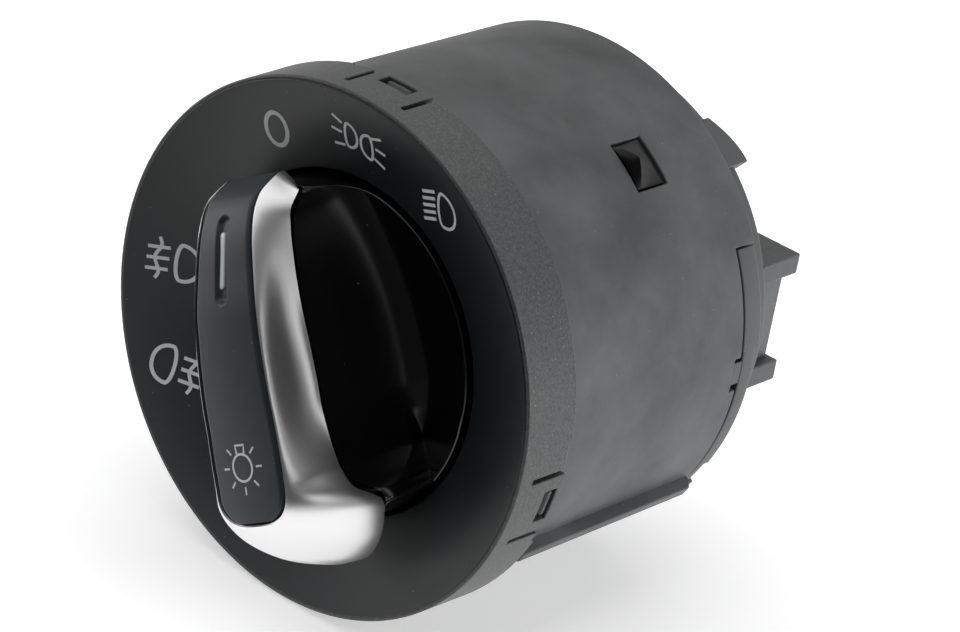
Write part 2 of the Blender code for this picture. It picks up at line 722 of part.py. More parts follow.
def mechanism_carrier(parent, material):
    """Plate with the rotor's bearing tube, two spring towers and the posts of the detent spring."""
    outer = BARREL_INNER_R - FIT_GAP
    profile = [
        (outer, CARRIER_TOP),
        (outer, CARRIER_BACK),
        (BEARING_OUTER_R, CARRIER_BACK),
        (BEARING_OUTER_R, BEARING_END),
        (BEARING_R, BEARING_END),
        (BEARING_R, CARRIER_TOP),
    ]
    carrier = turned("mechanism_carrier", profile, parent, material, MIDDLE_STEPS)
    root = CARRIER_BACK + EMBED
    for number, angle in enumerate(CATCH_ANGLES, start=1):
        outline = sector(TOWER_R - TOWER_WALL, TOWER_R, angle - TOWER_HALF_SPAN, angle + TOWER_HALF_SPAN, 4)
        merge(carrier, extruded(f"tower_{number}", outline, TOWER_END, root, parent))
    frame = new_empty("detent_posts", parent, DETENT_ANGLE)
    for side in (-1, 1):
        outline = circle(POST_R, (side * POST_OFFSET, POST_CENTRE_R))
        merge(carrier, extruded(f"post_{side + 2}", outline, TOWER_END, root, frame))
    for number, angle in enumerate(PIPE_ANGLES, start=1):
        outline = circle(PIPE_R + FIT_GAP, around(angle, PIPE_CENTRE_R))
        cut(carrier, extruded(f"pipe_hole_{number}", outline, CARRIER_BACK - CUT, CARRIER_TOP + CUT, parent))
    return carrier


def rotor_drum(parent, material):
    """Cup that turns in the bearing tube, with two key grooves and a rear ring with three notches."""
    hole_r = SPINDLE_R + RUN_GAP
    profile = [
        (ROTOR_R, ROTOR_FRONT),
        (ROTOR_R, ROTOR_RING_FRONT),
        (DETENT_RING_R, ROTOR_RING_FRONT),
        (DETENT_RING_R, ROTOR_BACK),
        (hole_r, ROTOR_BACK),
        (hole_r, ROTOR_FLOOR_TOP),
        (ROTOR_BORE_R, ROTOR_FLOOR_TOP),
        (ROTOR_BORE_R, ROTOR_FRONT),
    ]
    rotor = turned("rotor_drum", profile, parent, material, MIDDLE_STEPS)
    reach = SLEEVE_R + KEY_HEIGHT + RUN_GAP
    half = KEY_WIDTH / 2 + RUN_GAP
    groove_end = SLEEVE_BACK - PUSH_TRAVEL - PUSH_RESERVE
    cut(rotor, box("key_groove", (-reach, -half, groove_end), (reach, half, ROTOR_FRONT + CUT), parent))
    root = DETENT_RING_R - DETENT_DEPTH
    mouth = DETENT_RING_R + NOTCH_OVERSHOOT
    half_mouth = NOTCH_FLAT + (mouth - root) * NOTCH_SLOPE
    outline = [(-half_mouth, mouth), (half_mouth, mouth), (NOTCH_FLAT, root), (-NOTCH_FLAT, root)]
    for step in range(DETENT_COUNT):
        frame = new_empty(f"notch_{step}", parent, DETENT_ANGLE + GRIP_ANGLE - step * DETENT_STEP)
        cut(rotor, extruded(f"notch_cutter_{step}", outline, ROTOR_BACK - CUT, BEARING_END, frame))
    return rotor


def detent_spring(parent, material):
    """Leaf spring whose bent middle lies in a notch of the rotor; its ends lie on the posts."""
    frame = new_empty("detent_spring_frame", parent, DETENT_ANGLE)
    tip = DETENT_RING_R - DETENT_DEPTH + DETENT_TIP_GAP + DETENT_BLADE / 2
    seat = POST_CENTRE_R - POST_R - FIT_GAP - DETENT_BLADE / 2
    half = [
        (DETENT_TIP_WIDTH, tip),
        (DETENT_BEND[0], tip + DETENT_BEND[1]),
        (DETENT_SHOULDER[0], tip + DETENT_SHOULDER[1]),
        (POST_OFFSET - POST_GRIP, seat),
        (POST_OFFSET + POST_GRIP, seat),
    ]
    line = [(-x, y) for x, y in half[::-1]] + half
    outline = strip(line, DETENT_BLADE)
    back = ROTOR_BACK + FIT_GAP
    return extruded("detent_spring", outline, back, back + DETENT_BLADE_WIDTH, frame, material)


def push_sleeve(parent, material):
    """Sleeve that slides in the rotor on two keys and holds the flatted spindle."""
    bore = flatted(SPINDLE_R + RUN_GAP, SPINDLE_FLAT + RUN_GAP)
    sleeve = turned("push_sleeve", disc_profile(SLEEVE_R, SLEEVE_FRONT, SLEEVE_BACK), parent, material)
    far = SLEEVE_R + KEY_HEIGHT
    low = (-far, -KEY_WIDTH / 2, SLEEVE_BACK)
    high = (far, KEY_WIDTH / 2, ROTOR_FRONT - KEY_DROP)
    merge(sleeve, box("sleeve_keys", low, high, parent))
    cut(sleeve, extruded("sleeve_bore", bore, SLEEVE_BACK - CUT, SLEEVE_FRONT + CUT, parent))
    groove_r = DETENT_COIL_R + DETENT_WIRE_R + DETENT_COIL_ROOM
    groove = disc_profile(groove_r, GROOVE_Z + GROOVE_HALF_WIDTH, GROOVE_Z - GROOVE_HALF_WIDTH)
    cut(sleeve, turned("sleeve_groove", groove, parent))
    return sleeve


def return_spring(parent, material):
    """Coil spring between the sleeve and the rotor's floor."""
    start = SLEEVE_BACK - FIT_GAP - SPRING_WIRE / 2
    end = ROTOR_FLOOR_TOP + FIT_GAP + SPRING_WIRE / 2
    line = helix(SPRING_COIL_R, start, end, SPRING_TURNS, 14)
    return wire("return_spring", line, SPRING_WIRE / 2, parent, material)


def pull_detent_ring(parent, material):
    """Open wire ring in the sleeve's groove that drops into the spindle's grooves."""
    ring = arc(DETENT_COIL_R, DETENT_COIL_OPENING, 360.0 - DETENT_COIL_OPENING, 18)
    line = [(x, y, GROOVE_Z) for x, y in ring]
    return wire("pull_detent_ring", line, DETENT_WIRE_R, parent, material, 1)


def knob_spindle(parent, material):
    """Hollow flatted shaft of the knob with three grooves for its pull steps."""
    outline = flatted(SPINDLE_R, SPINDLE_FLAT)
    spindle = extruded("knob_spindle", outline, SPINDLE_END, SPINDLE_TOP, parent, material)
    bore = disc_profile(SPINDLE_BORE_R, SPINDLE_TOP + CUT, SPINDLE_END - CUT)
    cut(spindle, turned("spindle_bore", bore, parent, steps=16))
    inner = SPINDLE_R - GROOVE_DEPTH
    for step in range(PULL_COUNT):
        middle = GROOVE_Z - step * PULL_STEP
        ring = tube_profile(SPINDLE_R + CUT, inner, middle + GROOVE_HALF_WIDTH, middle - GROOVE_HALF_WIDTH)
        cut(spindle, turned(f"spindle_groove_{step}", ring, parent))
    return spindle


def bar_value(values, place):
    """Read one of the grip's profile rows at places along the bar."""
    return smooth_curve(BAR_PLACE, values, place)


def foot_half_width(place):
    """Return the half width of the trim's foot anywhere along the bar."""
    upper = bar_value(TRIM_FOOT_HALF_WIDTH, place)
    lower = smooth_curve(END_PLACE[::-1], END_HALF_WIDTH[::-1], place)
    return np.where(place < BAR_STRAIGHT_END, lower, upper)


def foot_z(place):
    """Return the height of the trim's foot anywhere along the bar."""
    upper = bar_value(TRIM_FOOT_Z, place)
    lower = smooth_curve(END_PLACE[::-1], END_FOOT_Z[::-1], place)
    return np.where(place < BAR_STRAIGHT_END, lower, upper)


def knob_face_z(x, y, inset=0.0):
    """Return the height of the knob's face: a dish, the bar's hollow flanks and its lower feet."""
    across = np.abs(x) + inset
    dish = KNOB_RIM_Z - DISH_DEPTH * (1 - (np.hypot(x, y) / KNOB_R) ** 2)
    rise = FOOT_RISE * np.clip((FOOT_START - y) / FOOT_LENGTH, 0.0, 1.0) ** FOOT_POWER
    base = dish + rise * np.clip((FOOT_HALF_WIDTH + FOOT_STEP - across) / FOOT_STEP, 0.0, 1.0)
    seat = np.minimum(foot_z(y - SEAT_MARGIN), foot_z(y + SEAT_MARGIN)) - FIT_GAP
    beyond = np.maximum(across - foot_half_width(y), 0.0)
    flank = base + (seat - base) * np.clip(1 - beyond / FLANK_REACH, 0.0, 1.0) ** FLANK_POWER
    return np.maximum(flank, base) - inset


def knob_columns(place, inset):
    """Return where the grid's columns cross the rows at the given places, from the bar to the edge."""
    chord = np.sqrt((KNOB_R - inset) ** 2 - place ** 2)
    edge = np.minimum(foot_half_width(place) - inset, KNOB_EDGE_SHARE * chord)
    foot = np.minimum(FOOT_HALF_WIDTH - inset, edge + 0.8 * (chord - edge))
    step = foot + np.minimum(FOOT_STEP, 0.3 * (chord - foot))
    columns = [edge * share for share in KNOB_BAR_COLUMNS]
    columns += [edge + (foot - edge) * share for share in KNOB_FLANK_COLUMNS]
    columns += [step, (step + chord) / 2, chord]
    return np.stack(columns, axis=1)


def knob_form(name, inset, rows, bottom, parent, material=None):
    """Return the knob's sculpted face as a solid: rows cross the bar, columns follow its flanks."""
    radius = KNOB_R - inset
    turn = np.radians(np.linspace(-90.0, 90.0, rows + 1))[1:-1]
    corners = [-math.acos((FOOT_HALF_WIDTH + step - inset) / radius) for step in (0.0, FOOT_STEP)]
    place = radius * np.sin(np.sort(np.append(turn, corners)))
    half = knob_columns(place, inset)
    x = np.concatenate([-half[:, :0:-1], half], axis=1)
    y = np.broadcast_to(place[:, None], x.shape)
    bm = bmesh.new()
    grid = [[bm.verts.new((a * MM, b * MM, c * MM)) for a, b, c in zip(*row)]
            for row in zip(x, y, knob_face_z(x, y, inset))]
    for low, high in zip(grid[:-1], grid[1:]):
        for i in range(len(low) - 1):
            bm.faces.new((low[i], low[i + 1], high[i + 1], high[i]))
    tips = []
    for end, row in ((-radius, grid[0]), (radius, grid[-1])):
        height = float(knob_face_z(np.array(0.0), np.array(end), inset))
        tips.append(bm.verts.new((0.0, end * MM, height * MM)))
        for a, b in zip(row[:-1], row[1:]):
            bm.faces.new((a, b, tips[-1]))
    border = [row[-1] for row in grid] + [tips[1]] + [row[0] for row in grid[::-1]] + [tips[0]]
    base = [bm.verts.new((v.co.x, v.co.y, bottom * MM)) for v in border]
    for i, vertex in enumerate(border):
        after = (i + 1) % len(border)
        bm.faces.new((border[after], vertex, base[i], base[after]))
    bm.faces.new(base)
    return add_object(name, mesh_from(bm, name), parent, material, 50.0)


def rod_opening_top():
    """Return a height over the knob's face and below the bar's crest at the indicator."""
    return float(crest_z(np.array(SLOT_CENTRE))) - INSERT_ROOF


def knob_body(parent, material):
    """Glossy shell of the knob with a sculpted face, a skirt and a boss for the spindle."""
    knob = knob_form("knob_body", 0.0, KNOB_ROWS, KNOB_SKIRT_END, parent, material)
    cut(knob, knob_form("knob_hollow", KNOB_WALL, KNOB_HOLLOW_ROWS, KNOB_SKIRT_END - CUT, parent))
    boss_top = KNOB_RIM_Z - DISH_DEPTH - KNOB_WALL / 2
    merge(knob, turned("boss_disc", disc_profile(BOSS_R, boss_top, KNOB_SKIRT_END), parent))
    half = SPINDLE_FLAT + FIT_GAP + BOSS_WALL
    length = SPINDLE_R + FIT_GAP + BOSS_WALL
    block_top = SPINDLE_TOP + FIT_GAP + BOSS_WALL
    merge(knob, box("boss_block", (-half, -length, boss_top - CUT), (half, length, block_top), parent))
    bore = flatted(SPINDLE_R + FIT_GAP, SPINDLE_FLAT + FIT_GAP, 5)
    cut(knob, extruded("knob_bore", bore, KNOB_SKIRT_END - CUT, SPINDLE_TOP + FIT_GAP, parent))
    rod_hole = disc_profile(ROD_R + 2 * FIT_GAP, block_top + CUT, SPINDLE_TOP)
    cut(knob, turned("knob_rod_hole", rod_hole, parent, steps=16))
    low = (-ROD_R - 2 * FIT_GAP, ROD_OPENING_START, block_top + CUT)
    high = (ROD_R + 2 * FIT_GAP, SLOT_CENTRE + ROD_TOP_ROOM, rod_opening_top())
    cut(knob, box("rod_opening", low, high, parent))
    return knob


def insert_outline_end(turn):
    """Return place and half width on the round lower end of the insert."""
    place = BAR_STRAIGHT_END - INSERT_END_LENGTH * np.sin(turn)
    return place, BAR_HALF_WIDTH[0] * np.cos(turn)


def crest_z(place):
    """Return the height of the bar's crest, also round the insert's lower end."""
    straight = bar_value(BAR_CREST, place)
    share = np.clip((BAR_STRAIGHT_END - place) / INSERT_END_LENGTH, 0.0, 1.0)
    return straight + (INSERT_END_CREST - BAR_CREST[0]) * np.sin(share * math.pi / 2)


def bar_places(count):
    """Return places down the bar's straight part, closer together where its crest falls away."""
    share = np.linspace(0.0, 1.0, count)
    return BAR_TOP - (BAR_TOP - BAR_STRAIGHT_END) * share ** PLACE_POWER


def trim_half_path():
    """Return the crest line and the foot line of the trim, from its upper tip round to its low end."""
    place = bar_places(14)[:-1]
    slant = TRIM_TOP_SLANT * np.clip((place - TRIM_TOP_SLANT_START) / (BAR_TOP - TRIM_TOP_SLANT_START), 0, 1)
    inner = np.stack([bar_value(BAR_HALF_WIDTH, place), place, crest_z(place)], axis=1)
    outer_place = place - slant
    outer = np.stack([foot_half_width(outer_place), outer_place, foot_z(outer_place)], axis=1)
    turn = np.radians(np.arange(0.0, 90.0 + TRIM_END_STEP / 2, TRIM_END_STEP))
    end_place, end_half = insert_outline_end(turn)
    share = np.linspace(0.0, len(END_PLACE) - 1.0, len(turn))
    number = np.arange(len(END_PLACE))
    foot = [smooth_curve(number, row, share) for row in (END_HALF_WIDTH, END_PLACE, END_FOOT_Z)]
    inner_end = np.stack([end_half, end_place, crest_z(end_place)], axis=1)
    return np.concatenate([inner, inner_end]), np.concatenate([outer, np.stack(foot, axis=1)])


def grip_trim(parent, material):
    """Hairpin-shaped trim: one swept section down the right side, round the end and up the left."""
    inner, outer = trim_half_path()
    mirror = np.array((-1.0, 1.0, 1.0))
    inner = np.concatenate([inner, inner[-2::-1] * mirror])
    outer = np.concatenate([outer, outer[-2::-1] * mirror])
    sections = []
    for crest, foot in zip(inner, outer):
        turn = np.linspace(0.0, math.pi / 2, TRIM_SECTION_STEPS)
        across = np.sin(turn)[:, None]
        down = 1 - np.cos(turn)
        curve = crest + (foot - crest) * across
        curve[:, 2] = crest[2] + (foot[2] - crest[2]) * down
        base = np.array((crest[0], crest[1], float(foot_z(crest[1]))))
        middle = (foot + base) / 2
        middle[2] = float(foot_z(middle[1]))
        sections.append(np.concatenate([curve, [middle], [base], [(crest + base) / 2]]))
    return loft("grip_trim", sections, parent, material, 50.0)


def insert_half_width(places):
    """Return the insert's half width: the bar's, and a half ellipse round its lower end."""
    share = np.clip((BAR_STRAIGHT_END - places) / INSERT_END_LENGTH, 0.0, 1.0)
    straight = bar_value(BAR_HALF_WIDTH, places)
    return np.where(places < BAR_STRAIGHT_END, BAR_HALF_WIDTH[0] * np.sqrt(1 - share ** 2), straight)


def insert_sections(side_gap, top_gap, foot_gap, places):
    """Return crowned sections of the insert, made smaller by the gaps at its sides, top and foot."""
    places = np.asarray(places, float)
    half = np.maximum(insert_half_width(places) - side_gap, CREST_GAP)
    crest = crest_z(places) - top_gap
    foot = foot_z(places) + foot_gap
    across = np.array((1.0, 0.75, 0.4, 0.0, -0.4, -0.75, -1.0))
    sections = []
    for place, width, top, bottom in zip(places, half, crest, foot):
        crown = [(width * a, place, top + INSERT_CROWN * (1 - a * a)) for a in across]
        sections.append(np.array(crown + [(a * width, place, bottom) for a in (-1, 0, 1)]))
    return sections


def crest_tilt():
    """Return the slope of the crest along the indicator slot, as an angle."""
    half = SLOT_LENGTH / 2
    rise = float(crest_z(np.array(SLOT_CENTRE - half)) - crest_z(np.array(SLOT_CENTRE + half)))
    return math.atan2(rise, SLOT_LENGTH)


def crest_frame(name, parent):
    """Return an empty on the crest over the indicator, tilted with the slope of the crest."""
    frame = new_empty(name, parent)
    frame.location = (0.0, SLOT_CENTRE * MM, float(crest_z(np.array(SLOT_CENTRE))) * MM)
    frame.rotation_euler = (-crest_tilt(), 0.0, 0.0)
    return frame


def grip_insert(parent, material):
    """Soft-touch cap of the bar, hollow below, with the indicator slot."""
    straight = bar_places(12)[::-1]
    ends = insert_outline_end(np.radians(np.arange(INSERT_END_TURN, 0.0, -INSERT_END_STEP)))[0]
    places = np.concatenate([ends, straight])
    insert = loft("grip_insert", insert_sections(CREST_GAP, 0.0, FIT_GAP, places), parent, material)
    ends = insert_outline_end(np.radians(np.arange(HOLLOW_END_TURN, 0.0, -INSERT_END_STEP)))[0]
    top = BAR_TOP - INSERT_TOP_WALL
    inside = np.concatenate([ends, straight[straight < top], [top]])
    hollow = insert_sections(CREST_GAP + INSERT_WALL, INSERT_ROOF, -CUT, inside)
    cut(insert, loft("insert_hollow", hollow, parent))
    frame = crest_frame("indicator_slot_frame", parent)
    slot = capsule(SLOT_HALF_WIDTH, SLOT_LENGTH)
    cut(insert, extruded("indicator_slot", slot, -SLOT_DEPTH, SLOT_CUTTER_HEIGHT, frame))
    hole = capsule(LENS_HALF_WIDTH + FIT_GAP, LENS_LENGTH + 2 * FIT_GAP)
    cut(insert, extruded("indicator_hole", hole, -LENS_DEPTH - CUT, SLOT_CUTTER_HEIGHT, frame))
    return insert


def indicator_lens(parent, material):
    """Light bar that fills the slot's floor."""
    frame = crest_frame("indicator_lens_frame", parent)
    outline = capsule(LENS_HALF_WIDTH, LENS_LENGTH)
    return extruded("indicator_lens", outline, -LENS_DEPTH, -SLOT_DEPTH + LENS_RISE, frame, material)


def cover_bands(cover, parent):
    """Join the lid's bands, which fill the cut rim of the barrel, and their snap lugs."""
    band_r = BARREL_R - BAND_INSET
    root = COVER_R - BAND_ROOT
    lug_bottom = COVER_FRONT - COVER_WALL / 2
    lug_top = RIM_STEP + RIM_NOTCH_DEPTH - FIT_GAP
    for side in (-1, 1):
        start = side * (RIM_CUT_START + BAND_GAP)
        step = side * BAND_STEP_ANGLE
        end = side * (RIM_CUT_END - BAND_GAP)
        outline = sector(root, band_r, start, step, 8)
        merge(cover, extruded(f"band_{side + 2}", outline, BAND_BACK, COVER_FRONT - BAND_INSET, parent))
        outline = sector(root + BAND_INSET, band_r, step - side * BAND_OVERLAP, end, 12)
        low_top = COVER_FRONT - 2 * BAND_INSET
        merge(cover, extruded(f"band_low_{side + 2}", outline, COVER_BACK, low_top, parent))
        lug_start = side * (RIM_NOTCH_START + LUG_GAP)
        lug_end = side * (RIM_NOTCH_END - LUG_GAP)
        outline = sector(root + 2 * BAND_INSET, band_r - LUG_INSET, lug_start, lug_end, 3)
        merge(cover, extruded(f"snap_lug_{side + 2}", outline, lug_bottom, lug_top, parent))


def cover_ramp(cover, parent):
    """Join the rising rib at the drum's edge: sections that grow backwards round the axis."""
    sections = []
    for i in range(RAMP_STEPS + 1):
        share = i / RAMP_STEPS
        angle = RAMP_START + (RAMP_END - RAMP_START) * share
        low = DRUM_BACK + RAMP_EDGE - (RAMP_RISE + RAMP_EDGE) * share
        outer = around(angle, DRUM_R + RAMP_PROUD)
        inner = around(angle, DRUM_R - DRUM_WALL + RAMP_EDGE)
        top = COVER_BACK + RAMP_EDGE
        sections.append(np.array([(*outer, top), (*outer, low), (*inner, low), (*inner, top)]))
    merge(cover, loft("ramp", sections, parent))


def plug_socket(cover, parent):
    """Join the socket's shell with its two flanges, and cut its hollow through the drum."""
    half = SOCKET_HALF_WIDTH - SOCKET_FLANGE_REACH
    bottom = SOCKET_BOTTOM + SOCKET_STEP
    top = SOCKET_TOP - SOCKET_STEP
    low = (-half, bottom, SOCKET_BACK + SOCKET_STEP)
    merge(cover, box("socket_shell", low, (half, top, SOCKET_FLOOR + SOCKET_WALL), parent))
    flanges = (SOCKET_BOTTOM, SOCKET_BOTTOM + SOCKET_FLANGE), (SOCKET_TOP - SOCKET_FLANGE, SOCKET_TOP)
    for number, (flange_bottom, flange_top) in enumerate(flanges, start=1):
        low = (-SOCKET_HALF_WIDTH, flange_bottom, SOCKET_BACK)
        high = (SOCKET_HALF_WIDTH, flange_top, DRUM_BACK + EMBED)
        merge(cover, box(f"socket_flange_{number}", low, high, parent))
    inner = half - SOCKET_WALL
    low = (-inner, bottom + SOCKET_WALL, SOCKET_BACK - CUT)
    cut(cover, box("socket_hollow", low, (inner, top - SOCKET_WALL, SOCKET_FLOOR), parent))


def rear_cover(parent, material):
    """Rear lid: a plate in the barrel, bands on the cut rim, a hollow drum and the plug socket."""
    hollow_r = DRUM_R - DRUM_WALL
    profile = [
        (0.0, DRUM_BACK + DRUM_WALL),
        (hollow_r, DRUM_BACK + DRUM_WALL),
        (hollow_r, COVER_FRONT),
        (COVER_R, COVER_FRONT),
        (COVER_R, COVER_BACK),
        (DRUM_R, COVER_BACK),
        (DRUM_R, DRUM_BACK),
        (0.0, DRUM_BACK),
    ]
    cover = turned("rear_cover", profile, parent, material, ROUND_STEPS)
    cover_bands(cover, parent)
    cover_ramp(cover, parent)
    plug_socket(cover, parent)
    for number, angle in enumerate(BOARD_POST_ANGLES, start=1):
        outline = circle(BOARD_POST_R, around(angle, BOARD_POST_CENTRE_R))
        top = BOARD_BACK - FIT_GAP
        merge(cover, extruded(f"board_post_{number}", outline, COVER_BACK + EMBED, top, parent))
    for number, place in enumerate(terminal_places(), start=1):
        terminal_hole(cover, number, place, SOCKET_FLOOR, SOCKET_FLOOR + SOCKET_WALL, parent)
    return cover


def terminal_places():
    """Return the places of the terminals, in two rows."""
    middle = (SOCKET_TOP + SOCKET_BOTTOM) / 2
    columns = [TERMINAL_PITCH * (i - (TERMINAL_COLUMNS - 1) / 2) for i in range(TERMINAL_COLUMNS)]
    return [(x, middle + row * TERMINAL_ROW_GAP / 2) for row in (1, -1) for x in columns]


def terminal_hole(target, number, place, bottom, top, parent):
    """Cut the hole for a terminal through a wall between two heights."""
    half = TERMINAL_WIDTH / 2 + FIT_GAP
    wall = TERMINAL_WALL / 2 + FIT_GAP
    x, y = place
    low = (x - half, y - wall, bottom - CUT)
    high = (x + half, y + wall, top + CUT)
    cut(target, box(f"{target.name}_hole_{number}", low, high, parent))


def circuit_board(parent, material):
    """Round board with holes for the terminals."""
    profile = disc_profile(BOARD_R, BOARD_FRONT, BOARD_BACK)
    board = turned("circuit_board", profile, parent, material, MIDDLE_STEPS)
    for number, place in enumerate(terminal_places(), start=1):
        terminal_hole(board, number, place, BOARD_BACK, BOARD_FRONT, parent)
    return board


def terminals(parent, material):
    """Flat pins from the board through the cover into the socket, with tapered tips."""
    tip = SOCKET_FLOOR - TERMINAL_REACH
    levels = (BOARD_FRONT + TERMINAL_RISE, 1.0), (tip + TERMINAL_TAPER, 1.0), (tip, TERMINAL_TIP)
    for number, (x, y) in enumerate(terminal_places(), start=1):
        sections = []
        for z, size in levels:
            half = TERMINAL_WIDTH / 2 * size
            wall = TERMINAL_WALL / 2 * size
            corners = ((-half, -wall), (half, -wall), (half, wall), (-half, wall))
            sections.append(np.array([(x + a, y + b, z) for a, b in corners]))
        loft(f"terminal_{number:02d}", sections, parent, material)


def lamp(name, x, y, parent, material):
    """Small flat lamp on the board."""
    low = (x - LAMP_LENGTH / 2, y - LAMP_WIDTH / 2, BOARD_FRONT + FIT_GAP)
    high = (x + LAMP_LENGTH / 2, y + LAMP_WIDTH / 2, LAMP_TOP)
    obj = box(name, low, high, parent, material)
    bevel = obj.modifiers.new("edges", "BEVEL")
    bevel.width = LAMP_EDGE * MM
    bevel.segments = 1
    return obj


def light_pipes(parent, clear, white):
    """Two rods from the lamps to the dial's light guide, with their lamps."""
    foot = LAMP_TOP + FIT_GAP
    top = guide_top(PIPE_CENTRE_R - PIPE_R) - GUIDE_WALL - FIT_GAP
    for name, angle in zip(("top", "side"), PIPE_ANGLES):
        x, y = around(angle, PIPE_CENTRE_R)
        wire(f"light_pipe_{name}", [(x, y, foot), (x, y, top)], PIPE_R, parent, clear, 4)
        lamp(f"led_dial_{name}", x, y, parent, white)
    lamp("led_knob", 0.0, 0.0, parent, white)


def knob_light_pipe(parent, material):
    """Bent rod from the spindle's end to the light bar."""
    tilt = crest_tilt()
    end_y = SLOT_CENTRE - LENS_DEPTH * math.sin(tilt)
    end_z = float(crest_z(np.array(SLOT_CENTRE))) - LENS_DEPTH * math.cos(tilt) - ROD_R - 2 * FIT_GAP
    straight = SPINDLE_TOP + BOSS_WALL + ROD_TOP_ROOM
    line = [(0.0, 0.0, SPINDLE_END + FIT_GAP), (0.0, 0.0, straight)]
    for share in (0.2, 0.4, 0.6, 0.8, 1.0):
        turn = share * math.pi / 2
        line.append((0.0, end_y * (1 - math.cos(turn)), straight + (end_z - straight) * math.sin(turn)))
    line.append((0.0, end_y + ROD_R, end_z))
    return wire("knob_light_pipe", line, ROD_R, parent, material, 3)


def wipers(parent, material):
    """Two bent contact strips under the rotor that press on the board's tracks."""
    for name, side in (("upper", 1), ("lower", -1)):
        frame = new_empty(f"wiper_{name}_frame", parent)
        frame.location = (0.0, side * WIPER_CENTRE_R * MM, 0.0)
        frame.rotation_euler = (math.pi / 2, 0.0, 0.0)
        top = ROTOR_BACK - FIT_GAP - WIPER_WALL / 2
        tip = BOARD_FRONT + FIT_GAP + WIPER_WALL / 2
        knee = WIPER_REACH - 2 * WIPER_CURL
        line = [(-WIPER_TAIL, top), (WIPER_BEND, top), (knee, tip + WIPER_CURL / 8)]
        line += [(WIPER_REACH - WIPER_CURL, tip), (WIPER_REACH, tip + WIPER_CURL / 2)]
        outline = strip(line, WIPER_WALL)
        extruded(f"wiper_{name}", outline, -WIPER_WIDTH / 2, WIPER_WIDTH / 2, frame, material)


def catch_section(z, height):
    """Return a catch's section: a wide foot inside the barrel, a neck in the window, a peaked nose."""
    neck = CATCH_WINDOW_WIDTH / 2 - CATCH_GAP
    foot = neck + CATCH_FOOT_EXTRA
    base = BARREL_R - CATCH_NOSE_ROOT
    nose = CATCH_NOSE * height
    half = [
        (foot, CATCH_INNER_R),
        (foot, CATCH_FOOT_R),
        (neck, CATCH_FOOT_R),
        (neck, base),
        (neck * CATCH_SHOULDER_WIDTH, base + nose * CATCH_SHOULDER_HEIGHT),
    ]
    ridge = (0.0, base + CATCH_NOSE_ROOT * height + nose)
    return np.array([(x, y, z) for x, y in half + [ridge] + [(-x, y) for x, y in half[::-1]]])


def locking_catch(name, parent, material):
    """Locking catch: its nose rises out of the barrel's window, and a pocket holds its spring."""
    front = CATCH_WINDOW_FRONT - CATCH_GAP
    back = CATCH_WINDOW_BACK + CATCH_GAP
    sections = [catch_section(front + (back - front) * share, height) for share, height in CATCH_NOSE_PROFILE]
    catch = loft(name, sections, parent, material)
    pocket = turned(f"{name}_pocket", disc_profile(CATCH_POCKET_R, CUT, -CATCH_POCKET_DEPTH), parent)
    pocket.location = (0.0, CATCH_INNER_R * MM, (front + back) / 2 * MM)
    pocket.rotation_euler = (math.pi / 2, 0.0, 0.0)
    cut(catch, pocket)


def catch_spring(name, angle, parent, steel):
    """Coil spring between a tower of the carrier and the pocket of a catch."""
    frame = new_empty(f"{name}_frame", parent, angle)
    middle = (CATCH_WINDOW_FRONT + CATCH_WINDOW_BACK) / 2
    radius = CATCH_SPRING_WIRE_R
    start = TOWER_R + FIT_GAP + radius
    end = CATCH_INNER_R + CATCH_POCKET_DEPTH - FIT_GAP - radius
    coil = helix(CATCH_POCKET_R - FIT_GAP - radius, start, end, CATCH_SPRING_TURNS, 10)
    wire(name, [(x, z, middle + y) for x, y, z in coil], radius, frame, steel, 1)


clear_scene()
parts = new_collection("headlight_switch")
cutters = new_collection("cutters")

grained_black = new_material("grained_black_plastic", PLASTIC_GREY, 0.6)
dial_black = new_material("satin_dial_plastic", PLASTIC_BLACK, 0.45)
barrel_grey = new_material("matte_barrel_plastic", (0.055, 0.056, 0.057), 0.62)
cover_grey = new_material("matte_cover_plastic", (0.09, 0.09, 0.092), 0.6)
gloss_black = new_material("gloss_knob_plastic", (0.006, 0.006, 0.008), 0.08)
satin_silver = new_material("satin_silver_plating", (0.72, 0.72, 0.74), 0.28, 1.0)
soft_touch = new_material("soft_touch_paint", (0.03, 0.033, 0.036), 0.55)
clear_plastic = new_material("clear_light_plastic", (0.8, 0.84, 0.86), 0.15)
white_plastic = new_material("white_inner_plastic", (0.7, 0.7, 0.68), 0.45)
carrier_plastic = new_material("grey_carrier_plastic", (0.2, 0.2, 0.21), 0.5)
board_green = new_material("green_circuit_board", (0.02, 0.12, 0.05), 0.4)
tinned_brass = new_material("tinned_brass", (0.75, 0.7, 0.6), 0.3, 1.0)
spring_steel = new_material("spring_steel", (0.55, 0.55, 0.56), 0.3, 1.0)
lamp_white = new_material("lamp_white", (0.85, 0.85, 0.8), 0.3)

switch_frame = bpy.data.objects.new("switch_frame", None)
parts.objects.link(switch_frame)
switch_frame.rotation_euler = (math.pi / 2, 0.0, 0.0)
knob_turn = new_empty("knob_turn_axis", switch_frame, -GRIP_ANGLE)
knob_push = new_empty("knob_push_axis", knob_turn)
knob_pull = new_empty("knob_pull_axis", knob_push)

bezel_ring(switch_frame, grained_black)
dial_plate(switch_frame, dial_black)
dial_light_guide(switch_frame, clear_plastic)
barrel_housing(switch_frame, barrel_grey)
mechanism_carrier(switch_frame, carrier_plastic)
rear_cover(switch_frame, cover_grey)
circuit_board(switch_frame, board_green)
terminals(switch_frame, tinned_brass)
light_pipes(switch_frame, clear_plastic, lamp_white)
detent_spring(switch_frame, spring_steel)

rotor_drum(knob_turn, white_plastic)
wipers(knob_turn, tinned_brass)
return_spring(knob_turn, spring_steel)

push_sleeve(knob_push, white_plastic)
pull_detent_ring(knob_push, spring_steel)

